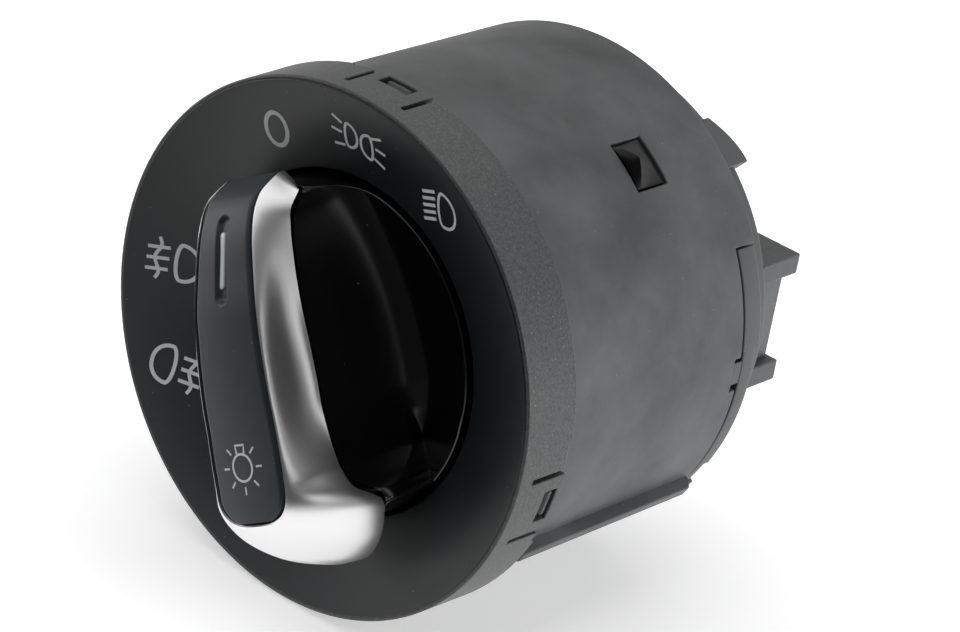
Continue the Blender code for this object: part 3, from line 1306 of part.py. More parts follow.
knob_body(knob_pull, gloss_black)
knob_spindle(knob_pull, carrier_plastic)
grip_trim(knob_pull, satin_silver)
grip_insert(knob_pull, soft_touch)
indicator_lens(knob_pull, clear_plastic)
knob_light_pipe(knob_pull, clear_plastic)

for side_name, side_angle in zip(("right", "left"), CATCH_ANGLES):
    catch_spring(f"catch_spring_{side_name}", side_angle, switch_frame, spring_steel)
    catch_axis = new_empty(f"catch_axis_{side_name}", switch_frame, side_angle)
    locking_catch(f"catch_{side_name}", catch_axis, grained_black)
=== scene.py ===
import math

import bmesh
import bpy
import numpy as np
from mathutils import Matrix, Vector


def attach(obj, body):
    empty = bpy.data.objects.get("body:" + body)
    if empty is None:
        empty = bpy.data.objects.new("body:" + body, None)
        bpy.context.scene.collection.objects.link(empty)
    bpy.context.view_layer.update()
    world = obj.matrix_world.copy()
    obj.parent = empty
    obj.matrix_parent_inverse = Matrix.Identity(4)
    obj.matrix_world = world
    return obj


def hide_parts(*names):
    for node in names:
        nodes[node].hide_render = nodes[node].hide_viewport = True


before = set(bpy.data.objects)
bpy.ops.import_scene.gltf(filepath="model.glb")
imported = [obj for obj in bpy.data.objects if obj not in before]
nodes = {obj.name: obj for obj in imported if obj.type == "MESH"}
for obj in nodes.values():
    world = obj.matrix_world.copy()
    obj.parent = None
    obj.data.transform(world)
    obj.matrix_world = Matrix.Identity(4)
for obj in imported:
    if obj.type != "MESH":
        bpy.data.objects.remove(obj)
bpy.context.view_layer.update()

# Headlight switch, dressed. Shapes are worked out face up in millimetres (X right, Y up on the dial,
# Z out of the dashboard), then turned to the frame's metres, where the dial faces -Y.
mm = 0.001
sides = ((-1, "Left"), (1, "Right"))


# Helpers for shapes.

def joined(*parts):
    # arrays of coordinates side by side in one array of points
    return np.stack(np.broadcast_arrays(*parts), axis=-1)


def toFrame(points):
    # (x, y, z) face up in mm -> (x, -z, y) in metres
    points = np.asarray(points, float)
    return joined(points[..., 0], -points[..., 2], points[..., 1]) * mm


def around(angle, radius):
    # x and y of a point at an angle clockwise from the top, in degrees
    turn = np.radians(angle)
    return radius * np.sin(turn), radius * np.cos(turn)


def turned(x, y, degrees):
    # turned in the plane, counter-clockwise
    c, s = math.cos(math.radians(degrees)), math.sin(math.radians(degrees))
    return x * c - y * s, x * s + y * c


def oblong(a, b, c, d):
    # corners of the rectangle between (a, b) and (c, d)
    return [(a, b), (c, b), (c, d), (a, d)]


def smoothCurve(places, values, at):
    # cubic through the values, level where they turn back: value and slope at both ends of each span
    places, values = np.asarray(places, float), np.asarray(values, float)
    step = np.diff(places)
    rise = np.diff(values) / step
    slope = np.concatenate([[rise[0]], (rise[1:] + rise[:-1]) / 2, [rise[-1]]])
    slope[1:-1][rise[1:] * rise[:-1] <= 0] = 0.0
    at = np.clip(at, places[0], places[-1])
    i = np.clip(np.searchsorted(places, at, side="right") - 1, 0, len(places) - 2)
    t = (at - places[i]) / step[i]
    start = (1 + 2 * t) * (1 - t) ** 2 * values[i] + t * (1 - t) ** 2 * step[i] * slope[i]
    return start + t * t * (3 - 2 * t) * values[i + 1] + t * t * (t - 1) * step[i] * slope[i + 1]


def smoothStep(low, high, value):
    # 0 below low, 1 above high, eased between
    t = np.clip((value - low) / (high - low), 0, 1)
    return t * t * (3 - 2 * t)


def gridFaces(rows, columns, wrapRows=False, wrapColumns=False, first=0):
    # quads between neighbours of a grid of points, row by row
    row, column = np.meshgrid(np.arange(rows if wrapRows else rows - 1),
                              np.arange(columns if wrapColumns else columns - 1), indexing="ij")
    nextRow, nextColumn = (row + 1) % rows, (column + 1) % columns
    row, nextRow = first + row * columns, first + nextRow * columns
    quads = joined(row + column, row + nextColumn, nextRow + nextColumn, nextRow + column)
    return quads.reshape(-1, 4).tolist()


def roundCorners(outline, radii, steps=5):
    # each corner becomes an arc that leaves its two sides at radius * tan(half the turn)
    points = np.asarray(outline, float)
    made = []
    for i, (point, radius) in enumerate(zip(points, np.broadcast_to(radii, len(points)))):
        if radius <= 0:
            made.append(point[None])
            continue
        before, after = points[i - 1] - point, points[(i + 1) % len(points)] - point
        lengths = np.linalg.norm(before), np.linalg.norm(after)
        before, after = before / lengths[0], after / lengths[1]
        half = math.acos(np.clip(before @ after, -1, 1)) / 2
        reach = min(radius / math.tan(half), 0.48 * min(lengths))
        centre = point + (before + after) / np.linalg.norm(before + after) * reach / math.cos(half)
        start, end = point + before * reach - centre, point + after * reach - centre
        share = np.linspace(0, 1, steps + 1)[:, None]
        swing = math.acos(np.clip(start @ end / (np.linalg.norm(start) * np.linalg.norm(end)), -1, 1))
        if swing < 1e-4:
            made.append(point[None])
            continue
        arc = (np.sin((1 - share) * swing) * start + np.sin(share * swing) * end) / math.sin(swing)
        made.append(centre + arc)
    return np.concatenate(made)


def dress(material, body, slot, replaces=(), sharp=35, bevel=0):
    # finish of a piece: nodes it stands for, angle in degrees from which edges stay sharp, bevel in mm
    return {"material": material, "body": body, "slot": slot, "replaces": replaces, "sharp": sharp,
            "bevel": bevel}


def addObject(name, data):
    thing = bpy.data.objects.new(name, data)
    bpy.context.scene.collection.objects.link(thing)
    return thing


def makePiece(name, points, faces, setup):
    # mesh from points in face-up mm, finished as its setup says
    mesh = bpy.data.meshes.new(name)
    mesh.from_pydata(toFrame(points).reshape(-1, 3).tolist(), [], [list(map(int, f)) for f in faces])
    work = bmesh.new()
    work.from_mesh(mesh)
    bmesh.ops.remove_doubles(work, verts=work.verts, dist=1e-7)
    bmesh.ops.delete(work, geom=[v for v in work.verts if not v.link_faces], context="VERTS")
    bmesh.ops.recalc_face_normals(work, faces=work.faces)
    work.to_mesh(mesh)
    work.free()
    mesh.shade_smooth()
    mesh.set_sharp_from_angle(angle=math.radians(setup["sharp"]))
    mesh.materials.append(setup["material"])
    piece = addObject(name, mesh)
    if setup["bevel"]:
        edge = piece.modifiers.new("softEdge", "BEVEL")
        edge.width = setup["bevel"] * mm
        edge.segments = 2
        edge.limit_method = "ANGLE"
        edge.angle_limit = math.radians(setup["sharp"])
    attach(piece, setup["body"])
    if setup["replaces"]:
        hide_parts(*setup["replaces"])


def spun(radius, height, angles):
    # (radius, height) profile at each angle round the axis; the radius may change from angle to angle
    x, y = around(np.asarray(angles)[:, None], radius)
    return joined(x, y, height)


def between(value, low, high):
    return (value > low) & (value < high)


def sweptPiece(name, sections, setup, closed=False):
    # closed sections joined in order, with flat ends unless the sweep closes on itself
    sections = np.asarray(sections, float)
    rows, columns = sections.shape[:2]
    faces = gridFaces(rows, columns, closed, True)
    if not closed:
        faces += [list(range(columns)), list(range((rows - 1) * columns, rows * columns))]
    makePiece(name, sections, faces, setup)


def turnedPiece(name, profile, setup, steps):
    sweptPiece(name, spun(*np.transpose(profile), np.linspace(0, 360, steps, endpoint=False)), setup, True)


def arcPiece(name, profile, start, end, setup, steps):
    sweptPiece(name, spun(*np.transpose(profile), np.linspace(start, end, steps + 1)), setup)


def boxPiece(name, low, high, setup):
    # one rectangle carried along Z
    loops = [[(x, y, z) for x, y in oblong(*low[:2], *high[:2])] for z in (low[2], high[2])]
    sweptPiece(name, loops, setup)


def linesWith(start, end, step, edges, wrap=False):
    # even lines, moved aside wherever a given edge line has to be
    lines = np.arange(start, end if wrap else end + step / 2, step)
    edges = np.asarray(edges, float)
    lines = lines[np.abs(lines[:, None] - edges).min(axis=1) > step * 0.35]
    return np.unique(np.concatenate([lines, edges]))


def cellGrid(step, edges, heights):
    # lines round the axis, the middles of the cells between them both ways, and a table of solid cells
    angles = linesWith(-180, 180, step, edges, True)
    middle = (angles + np.roll(angles, -1)) / 2
    middle[-1] = angles[-1] + 0.1
    solid = np.ones((len(angles), len(heights) - 1), bool)
    return angles, middle, (heights[1:] + heights[:-1]) / 2, solid


def cutShell(name, angles, heights, solid, outer, inner, setup):
    # wall between two turned skins; solid says for each (angle, height) cell whether it is there
    skins = [spun(radius, heights, angles).reshape(-1, 3) for radius in (outer, inner)]
    size = len(angles) * len(heights)
    index = np.arange(size).reshape(len(angles), len(heights))
    nextRow = np.roll(index, -1, axis=0)
    near, far = index[:, :-1], index[:, 1:]
    quads = joined(near, far, nextRow[:, 1:], nextRow[:, :-1])[solid]
    # walls where a solid cell meets an open one: along edges of constant height, then of constant angle
    framed = np.pad(solid, ((0, 0), (1, 1)))
    turn = framed[:, 1:] != framed[:, :-1]
    level = joined(index, nextRow, nextRow + size, index + size)[turn]
    side = solid != np.roll(solid, 1, axis=0)
    upright = joined(near, far, far + size, near + size)[side]
    faces = np.concatenate([quads, quads[:, ::-1] + size, level, upright])
    makePiece(name, np.concatenate(skins), faces, setup)


# Helpers for materials.

def colour(hexCode):
    # sRGB hex to linear
    parts = [int(hexCode[i:i + 2], 16) / 255 for i in (1, 3, 5)]
    return [p / 12.92 if p <= 0.04045 else ((p + 0.055) / 1.055) ** 2.4 for p in parts] + [1.0]


def addNode(tree, kind, settings=None, links=None):
    # one node with its settings (attributes or socket values) and what feeds its sockets
    node = tree.nodes.new("ShaderNode" + kind)
    for key, value in (settings or {}).items():
        if isinstance(key, str) and hasattr(node, key):
            setattr(node, key, value)
        else:
            node.inputs[key].default_value = value
    for key, source in (links or {}).items():
        tree.links.new(source, node.inputs[key])
    return node


def newMaterial(name, settings):
    # Principled material; returns it with its tree, shader and object coordinates
    material = bpy.data.materials.new(name)
    material.use_nodes = True
    tree = material.node_tree
    shader = tree.nodes["Principled BSDF"]
    for key, value in settings.items():
        shader.inputs[key].default_value = value
    place = addNode(tree, "TexCoord").outputs["Object"]
    return material, tree, shader, place


def perMm(size):
    # texture scale that gives features of this size in mm on Object coordinates in metres
    return 1000.0 / size


def addMath(tree, operation, *values):
    # arithmetic on plain floats and on what other nodes give
    fixed = {i: value for i, value in enumerate(values) if isinstance(value, float)}
    fed = {i: value for i, value in enumerate(values) if i not in fixed}
    return addNode(tree, "Math", {"operation": operation, **fixed}, fed).outputs[0]


def mapped(tree, source, start, end, low=0.0, high=1.0):
    # start..end carried to low..high
    ends = {"From Min": start, "From Max": end, "To Min": low, "To Max": high}
    return addNode(tree, "MapRange", ends, {"Value": source}).outputs["Result"]


def noiseField(tree, place, size, detail, roughness=0.5):
    settings = {"Scale": perMm(size), "Detail": detail, "Roughness": roughness}
    return addNode(tree, "TexNoise", settings, {"Vector": place}).outputs["Fac"]


def mottled(tree, place, size, darker, lighter, detail):
    # slow change between two tones of one plastic
    ramp = addNode(tree, "ValToRGB", {}, {"Fac": noiseField(tree, place, size, detail, 0.6)})
    for element, position, tone in zip(ramp.color_ramp.elements, (0.32, 0.7), (darker, lighter)):
        element.position, element.color = position, colour(tone)
    return ramp.outputs["Color"]


def dustAndGlintSpecks(tree, place, spread, size, tone):
    # pale specks, dust on most parts and painted glints on the bezel: small cells whose random value passes a
    # limit, fading from each cell's centre
    cells = addNode(tree, "TexVoronoi", {"Scale": perMm(spread)}, {"Vector": place})
    pick = addNode(tree, "SeparateColor", {}, {"Color": cells.outputs["Color"]})
    chosen = mapped(tree, pick.outputs["Red"], 0.62, 1.0)
    share = addMath(tree, "MULTIPLY", mapped(tree, cells.outputs["Distance"], size, size * 0.5), chosen)
    return addNode(tree, "Mix", {"data_type": "RGBA", 7: colour(tone)}, {"Factor": share})


def makeSurface(name, settings, tones=None, dustAndGlints=None, grain=None, cloud=None, roughness=None):
    # tones (size, darker, lighter, detail) mottle the base, pale specks (spread, size, tone) lie on it, dust
    # on most parts and painted glints on the bezel; grain (size, detail, roughness, strength, depth) is the
    # bump;
    # cloud (size, detail) or the grain spreads the roughness between two values
    material, tree, shader, place = newMaterial(name, settings)
    base = mottled(tree, place, *tones) if tones else None
    if dustAndGlints:
        mixed = dustAndGlintSpecks(tree, place, *dustAndGlints)
        mixed.inputs[6].default_value = shader.inputs["Base Color"].default_value
        if base:
            tree.links.new(base, mixed.inputs[6])
        base = mixed.outputs[2]
    if base:
        tree.links.new(base, shader.inputs["Base Color"])
    if grain:
        field = noiseField(tree, place, *grain[:3])
        settings = {"Strength": grain[3], "Distance": grain[4] * mm}
        bump = addNode(tree, "Bump", settings, {"Height": field})
        tree.links.new(bump.outputs["Normal"], shader.inputs["Normal"])
    if cloud:
        field = noiseField(tree, place, *cloud)
    if roughness:
        tree.links.new(mapped(tree, field, 0.0, 1.0, *roughness), shader.inputs["Roughness"])
    return material


def makePlain(name, hexCode, roughness, size, depth, settings=None):
    # plain moulded or drawn surface with a light unevenness
    return makeSurface(name, {"Base Color": colour(hexCode), "Roughness": roughness, **(settings or {})},
                       grain=(size, 3.0, 0.5, 0.3, depth), roughness=(roughness * 0.85, roughness * 1.15))


print("materials")
# bezel: ABS with an etched grain of about 0.3 mm, dark grey, with tiny glints painted into its colour as pale
# specks
grainedAbs = makeSurface("grainedAbs", {"Roughness": 0.5, "IOR": 1.5},
                         tones=(0.33, "#262728", "#424344", 2.0), dustAndGlints=(0.42, 0.15, "#a4a5a6"),
                         grain=(0.35, 3.0, 0.7, 0.6, 0.06))
# dial: painted ABS, very dark blue-grey, almost smooth, fine spray texture of 0.2 mm
dialAbs = makeSurface("satinPaintedAbs", {"Roughness": 0.42, "Specular IOR Level": 0.35},
                      tones=(9.0, "#0f1214", "#14171a", 4.0), dustAndGlints=(1.6, 0.07, "#6f7478"),
                      grain=(0.22, 2.0, 0.5, 0.25, 0.02))
# barrel: glass-filled nylon, matte charcoal, cloudy where the melt flowed, fine pits of 0.25 mm
barrelNylon = makeSurface("glassFilledNylon", {"Roughness": 0.58, "Specular IOR Level": 0.45},
                          tones=(12.0, "#353637", "#4d4e4f", 6.0), dustAndGlints=(1.0, 0.09, "#77797b"),
                          grain=(0.28, 4.0, 0.65, 0.3, 0.03), cloud=(7.0, 5.0), roughness=(0.48, 0.66))
# knob: polished black ABS with settled dust
glossAbs = makeSurface("polishedBlackAbs", {"Base Color": colour("#030304"), "Roughness": 0.24},
                       dustAndGlints=(2.0, 0.05, "#7d8286"), cloud=(6.0, 5.0), roughness=(0.2, 0.28))
# trim: satin chrome plating on ABS, blasted to a fine 0.16 mm matte grain
satinChrome = makeSurface("satinChrome",
                          {"Base Color": colour("#d3d2d3"), "Metallic": 1.0, "Roughness": 0.33},
                          grain=(0.16, 2.0, 0.5, 0.35, 0.012), roughness=(0.28, 0.38))
# insert: rubbery lacquer, blue-grey, fine 0.2 mm orange peel
softTouch = makeSurface("softTouchLacquer", {"Roughness": 0.5, "Specular IOR Level": 0.35,
                                             "Sheen Weight": 0.08, "Sheen Roughness": 0.4},
                        tones=(4.0, "#20262a", "#262c31", 4.0), dustAndGlints=(1.9, 0.06, "#7b8084"),
                        grain=(0.2, 2.0, 0.5, 0.25, 0.02))
coverNylon = makePlain("mouldedNylon", "#3e3f40", 0.55, 0.5, 0.03)
catchAcetal = makePlain("blackAcetal", "#0a0a0b", 0.42, 0.6, 0.02, {"Specular IOR Level": 0.25})
printInk = makePlain("paleGreyInk", "#c6c8ca", 0.5, 0.15, 0.01)
milkyLens = makePlain("milkyPolycarbonate", "#c3c8ca", 0.3, 0.4, 0.01,
                      {"Transmission Weight": 0.15, "IOR": 1.58})
clearAcrylic = makePlain("clearAcrylic", "#e4e9ea", 0.12, 2.0, 0.01,
                         {"Transmission Weight": 0.7, "IOR": 1.49})
whiteAcetal = makePlain("whiteAcetal", "#dedcd4", 0.4, 0.8, 0.02, {"Subsurface Weight": 0.05})
greyNylon = makePlain("greyNylon", "#77787a", 0.5, 0.5, 0.02)
springSteel = makePlain("springSteel", "#b5b6b8", 0.25, 0.1, 0.004, {"Metallic": 1.0})
tinnedBrass = makePlain("tinnedBrass", "#cfcabd", 0.28, 0.2, 0.004, {"Metallic": 1.0})
boardLacquer = makePlain("greenBoardLacquer", "#1f5a35", 0.35, 0.6, 0.02)
lampEpoxy = makePlain("whiteLampEpoxy", "#e6e4d8", 0.3, 0.5, 0.01)

# hidden parts keep their CAD shapes and get a material
plainNodes = (
    (clearAcrylic, ("dial_light_guide", "light_pipe_top", "light_pipe_side", "knob_light_pipe")),
    (greyNylon, ("mechanism_carrier", "knob_spindle")),
    (boardLacquer, ("circuit_board",)),
    (lampEpoxy, ("led_dial_top", "led_dial_side", "led_knob")),
    (springSteel, ("detent_spring", "catch_spring_right", "catch_spring_left", "return_spring",
                   "pull_detent_ring")),
    (whiteAcetal, ("rotor_drum", "push_sleeve")),
    (tinnedBrass, ("wiper_upper", "wiper_lower", *[f"terminal_{number:02d}" for number in range(1, 11)])),
)
for material, nodeNames in plainNodes:
    for nodeName in nodeNames:
        if not nodes[nodeName].material_slots:
            nodes[nodeName].data.materials.append(material)
        for nodeSlot in nodes[nodeName].material_slots:
            nodeSlot.material = material


print("bezel and dial")
bezel = {
    "frontRadius": 34.0, "backRadius": 34.15, "innerRadius": 33.0, "front": 8.12,
    "clips": (0.7, 102.4, -102.4), "slotSpan": 7.75, "slotWidth": 0.72, "slotTop": 6.0,
    "windowWidth": 4.7, "window": (0.8, 2.95), "edge": 0.12,
    "recess": (-14.5, 11.0), "recessDepth": 0.55,
    "bead": (33.62, 8.45, 33.86, 7.4), "ledge": (31.8, 7.3, 33.1, 6.3),
}
dial = {
    "radius": 33.5, "top": 8.62, "holeRadius": 21.8, "holeZ": 4.4, "wall": 1.5, "collarWall": 1.4,
    "collarEnd": -5.7, "rimInner": 31.5, "seat": 7.6,
}


def dialZ(radius):
    # straight funnel from the rim down to the hole
    slope = (dial["top"] - dial["holeZ"]) / (dial["radius"] - dial["holeRadius"])
    return dial["top"] - slope * (dial["radius"] - radius)


def buildBezel(s):
    degree = 360 / (2 * math.pi * s["backRadius"])
    slotHalf, windowHalf = s["slotWidth"] / 2 * degree, s["windowWidth"] / 2 * degree
    edges = []
    for clip in s["clips"]:
        edges += [clip + reach for reach in s["recess"]]
        for side in (-1, 1):
            edges += [clip + side * s["slotSpan"] - slotHalf, clip + side * s["slotSpan"] + slotHalf,
                      clip + side * windowHalf]
    levels = [0, s["recessDepth"], *s["window"], s["slotTop"], s["front"]]
    heights = linesWith(0, s["front"], 0.7, levels)
    angles, middle, level, solid = cellGrid(1.0, edges, heights)
    for clip in s["clips"]:
        away = middle - clip
        beside = between(away, *s["recess"]) & (np.abs(away) > s["slotSpan"])
        solid[np.ix_(beside, level < s["recessDepth"])] = False
        for side in (-1, 1):
            solid[np.ix_(np.abs(away - side * s["slotSpan"]) < slotHalf, level < s["slotTop"])] = False
        solid[np.ix_(np.abs(away) < windowHalf, between(level, *s["window"]))] = False
    slope = (s["backRadius"] - s["frontRadius"]) / s["front"]
    setup = dress(grainedAbs, "housing", "bezel_plastic", ["bezel_ring"], 40, s["edge"])
    inner = np.full(len(heights), s["innerRadius"])
    cutShell("bezelRing", angles, heights, solid, s["backRadius"] - slope * heights, inner, setup)
    # thin bead between the ring and the dial, with a groove on both sides
    setup = dress(grainedAbs, "housing", "bezel_plastic", sharp=40)
    turnedPiece("bezelBead", roundCorners(oblong(*s["bead"]), [0.1, 0.1, 0, 0]), setup, 300)
    turnedPiece("bezelLedge", oblong(*s["ledge"]), setup, 180)


def buildDial(s):
    under = s["holeRadius"] + s["collarWall"]
    outline = [
        (s["radius"], s["top"]), (s["radius"], s["seat"]), (s["rimInner"], s["seat"]),
        (s["rimInner"], dialZ(s["rimInner"]) - s["wall"]), (under, dialZ(under) - s["wall"]),
        (under, s["collarEnd"]), (s["holeRadius"], s["collarEnd"]), (s["holeRadius"], s["holeZ"]),
    ]
    profile = roundCorners(outline, [0.16, 0, 0, 0.3, 0.5, 0.2, 0.2, 0.35], 6)
    setup = dress(dialAbs, "housing", "dial_plastic", ["dial_plate"], 30)
    turnedPiece("dialPlate", profile, setup, 320)


buildBezel(bezel)
buildDial(dial)


print("dial marks")
marks = {"radius": 27.2, "stroke": 0.5, "height": 0.035, "sink": 0.02}


def ribbons(strokes, surface, lift, sink, joins=True):
    # flat ribbons carried along lines on a surface; where a line is closed, its ribbon may join itself
    points, faces, first = [], [], 0
    for line, width in strokes:
        closed = joins and np.allclose(line[0], line[-1])
        run = np.gradient(line, axis=0)
        if closed:
            run[0] = line[1] - line[-2]
        run /= np.linalg.norm(run, axis=1)[:, None]
        side = joined(-run[:, 1], run[:, 0]) * width / 2
        corners = []
        for way, rise in ((1, lift), (1, -sink), (-1, -sink), (-1, lift)):
            place = line + side * way
            corners.append(joined(*place.T, surface(*place.T) + rise))
        sections = np.stack(corners, axis=1)[:-1 if closed else None]
        count = len(sections)
        faces += gridFaces(count, 4, closed, True, first)
        if not closed:
            faces += [list(range(end, end + 4)) for end in (first, first + (count - 1) * 4)]
        points.append(sections.reshape(-1, 3))
        first += count * 4
    return np.concatenate(points), faces


def buildMark(name, strokes, angle):
    # strokes are (line, width) in the mark's own millimetres, upright on the dial
    centre = np.array(around(angle, marks["radius"]))
    placed = [(line + centre, width) for line, width in strokes]
    points, faces = ribbons(placed, lambda x, y: dialZ(np.hypot(x, y)), marks["height"], marks["sink"])
    makePiece(name, points, faces, dress(printInk, "housing", "dial_plastic", sharp=40))


def straight(start, end, steps=8):
    return np.linspace(start, end, steps + 1)


def ellipse(width, height, centre=(0, 0)):
    turn = np.linspace(0, 2 * math.pi, 49)
    return joined(centre[0] + width / 2 * np.sin(turn), centre[1] + height / 2 * np.cos(turn))


def lampShape(width, height, flatSide, centre=(0, 0)):
    # lamp in side view: a shallow curve on its flat side and a full round nose on the other
    turn = np.linspace(0, 2 * math.pi, 41)
    x = np.cos(turn)
    bulge = np.where(x > 0, x, x * 0.34)
    share = np.sign(np.sin(turn)) * np.abs(np.sin(turn)) ** 0.9
    return joined(centre[0] - flatSide * bulge * width * 0.72, centre[1] + share * height / 2)


def wavy(start, end, waves, depth):
    # sine ripple across a straight line
    run = np.subtract(end, start)
    side = np.array([-run[1], run[0]]) / np.linalg.norm(run)
    t = np.linspace(0, 1, 25)[:, None]
    return start + run * t + side * depth * np.sin(t * waves * 2 * math.pi)


def buildMarks(s):
    w = s["stroke"]
    buildMark("markOff", [(ellipse(3.1, 4.5, (0.2, 0.1)), w * 1.15)], -30)
    lamps = [(lampShape(2.0, 3.3, way, centre), w * 0.75)
             for way, centre in ((-1, (-2.04, 0.3)), (1, (1.44, 0.0)))]
    rays = (((-4.4, 2.3), (-2.9, 1.65)), ((-4.7, 0.4), (-3.05, 0.3)), ((-4.4, -1.7), (-2.7, -1.35)),
            ((1.95, 1.5), (3.6, 2.05)), ((2.45, 0.3), (4.1, 0.1)), ((2.1, -1.2), (3.8, -1.9)))
    buildMark("markSideLights", lamps + [(straight(start, end), w * 0.7) for start, end in rays], 0)
    beams = [(straight((-0.75, y), (-3.1, y - 0.93)), w * 0.85) for y in 2.85 - 0.95 * np.arange(5)]
    buildMark("markLowBeam", [(lampShape(3.3, 4.6, -1, (0.65, 0.95)), w * 0.8)] + beams, 30)
    # fog lamps: way the beams go, their fall, and the top and bottom of the wave across them
    for name, way, fall, top, bottom, angle in (("markFrontFog", -1, 0.6, 2.6, -3.1, -90),
                                                ("markRearFog", 1, 0.0, 2.8, -2.8, -120)):
        strokes = [(lampShape(3.2, 4.9, way, (-1.3 * way, 0)), w)]
        strokes += [(straight((0.4 * way, y), (3.3 * way, y - fall)), w * 0.9) for y in (1.5, 0, -1.5)]
        strokes.append((wavy((1.9 * way, top), (1.9 * way, bottom), 1.5, 0.35), w * 0.9))
        buildMark(name, strokes, angle)


buildMarks(marks)


print("knob")
bar = {
    "place": (-13, -10, -6, -3, 2, 5, 8, 12, 16, 18, 20, 21, 22.4),
    "halfWidth": (5.9, 5.95, 5.86, 5.8, 5.6, 5.45, 5.35, 5.05, 4.75, 4.65, 4.6, 4.6, 4.5),
    "crest": (24.2, 23.9, 23.5, 23.3, 22.7, 22.2, 21.6, 20.4, 19, 18, 16.6, 15.4, 12.1),
    "footHalfWidth": (8, 7.5, 7.3, 7.25, 7.2, 7.15, 7.1, 7.05, 7, 7, 7, 7, 7),
    "footZ": (16.6, 16.6, 16.6, 16.3, 16, 15.9, 15.7, 15.2, 14.4, 13.7, 11.6, 10.9, 10.9),
    "endPlace": (-13, -15.6, -18, -20.6, -23.2, -25.2, -25.8),
    "endHalfWidth": (8, 9.1, 9.8, 8.9, 6.9, 3.6, 0),
    "endZ": (16.6, 16.2, 12.9, 12.4, 12, 11.2, 10.9),
    "straightEnd": -13.0, "endLength": 4.6, "endPower": 2.7, "endCrest": 24.6, "top": 22.4, "turn": 30.0,
    "slant": 2.5, "slantStart": 12.0,
}
knob = {
    "radius": 21.2, "rimZ": 5.0, "skirtEnd": -2.6, "dish": 4.2, "flankReach": 8.0, "flankPower": 4.0,
    "footRise": 1.9, "footStart": -9.0, "footLength": 7.8, "footPower": 1.6, "footStep": 0.22,
    "ridge": -16.8, "ridgeReach": 0.65, "flankNarrowing": 0.665, "edgeNarrowing": 0.16,
    "seatGap": 0.3, "seatMargin": 0.8, "rimRound": 0.22, "wall": 1.5, "skirtEdge": 0.15, "skirtInside": 2.0,
}


def fromKnob(points):
    # (across the bar, along the bar, z) -> face-up frame, turned to the 0 mark
    points = np.asarray(points, float)
    return joined(*turned(points[..., 0], points[..., 1], bar["turn"]), points[..., 2])


def barFoot(measure, along):
    # half width or height of the trim's foot, along the bar and round its low end
    upper = smoothCurve(bar["place"], bar["foot" + measure], along)
    lower = smoothCurve(bar["endPlace"][::-1], bar["end" + measure][::-1], along)
    return np.where(along < bar["straightEnd"], lower, upper)


def crestZ(along):
    along = np.asarray(along, float)
    share = np.clip((bar["straightEnd"] - along) / bar["endLength"], 0, 1)
    lift = (bar["endCrest"] - bar["crest"][0]) * np.sin(share * math.pi / 2)
    return smoothCurve(bar["place"], bar["crest"], along) + lift


def footEdge(along):
    # the foot's side edge comes closer to the bar towards the ridge
    past = np.maximum(along - knob["ridge"], 0)
    return barFoot("HalfWidth", along) + knob["ridgeReach"] + knob["edgeNarrowing"] * past


def knobZ(x, y):
    # dish, a low foot at the bar's low end, and the hollow flank (1 - distance / reach) ^ power up to the
    # trim's seat; reach and power shrink towards the ridge, past which the flank is an upright wall
    k = knob
    across = np.abs(x)
    dish = k["rimZ"] - k["dish"] * (1 - (np.hypot(x, y) / k["radius"]) ** 2)
    share = np.clip((k["footStart"] - y) / k["footLength"], 0, 1)
    rise = k["footRise"] * share ** k["footPower"]
    margin = k["seatMargin"]
    seat = np.minimum(barFoot("Z", y - margin), barFoot("Z", y + margin)) - k["seatGap"]
    past = y - k["ridge"]
    reach = np.clip(k["ridgeReach"] + k["flankNarrowing"] * past, k["ridgeReach"], k["flankReach"])
    power = np.clip(0.15 + 1.1 * past, 0.15, k["flankPower"])
    beyond = np.maximum(across - barFoot("HalfWidth", y), 0)
    flank = np.maximum(seat - dish - rise, 0) * np.clip(1 - beyond / reach, 0, 1) ** power
    edge = footEdge(y)
    outside = smoothStep(edge, edge + k["footStep"], across) * np.clip(2 * share, 0, 1)
    return dish + (rise + flank) * (1 - outside)


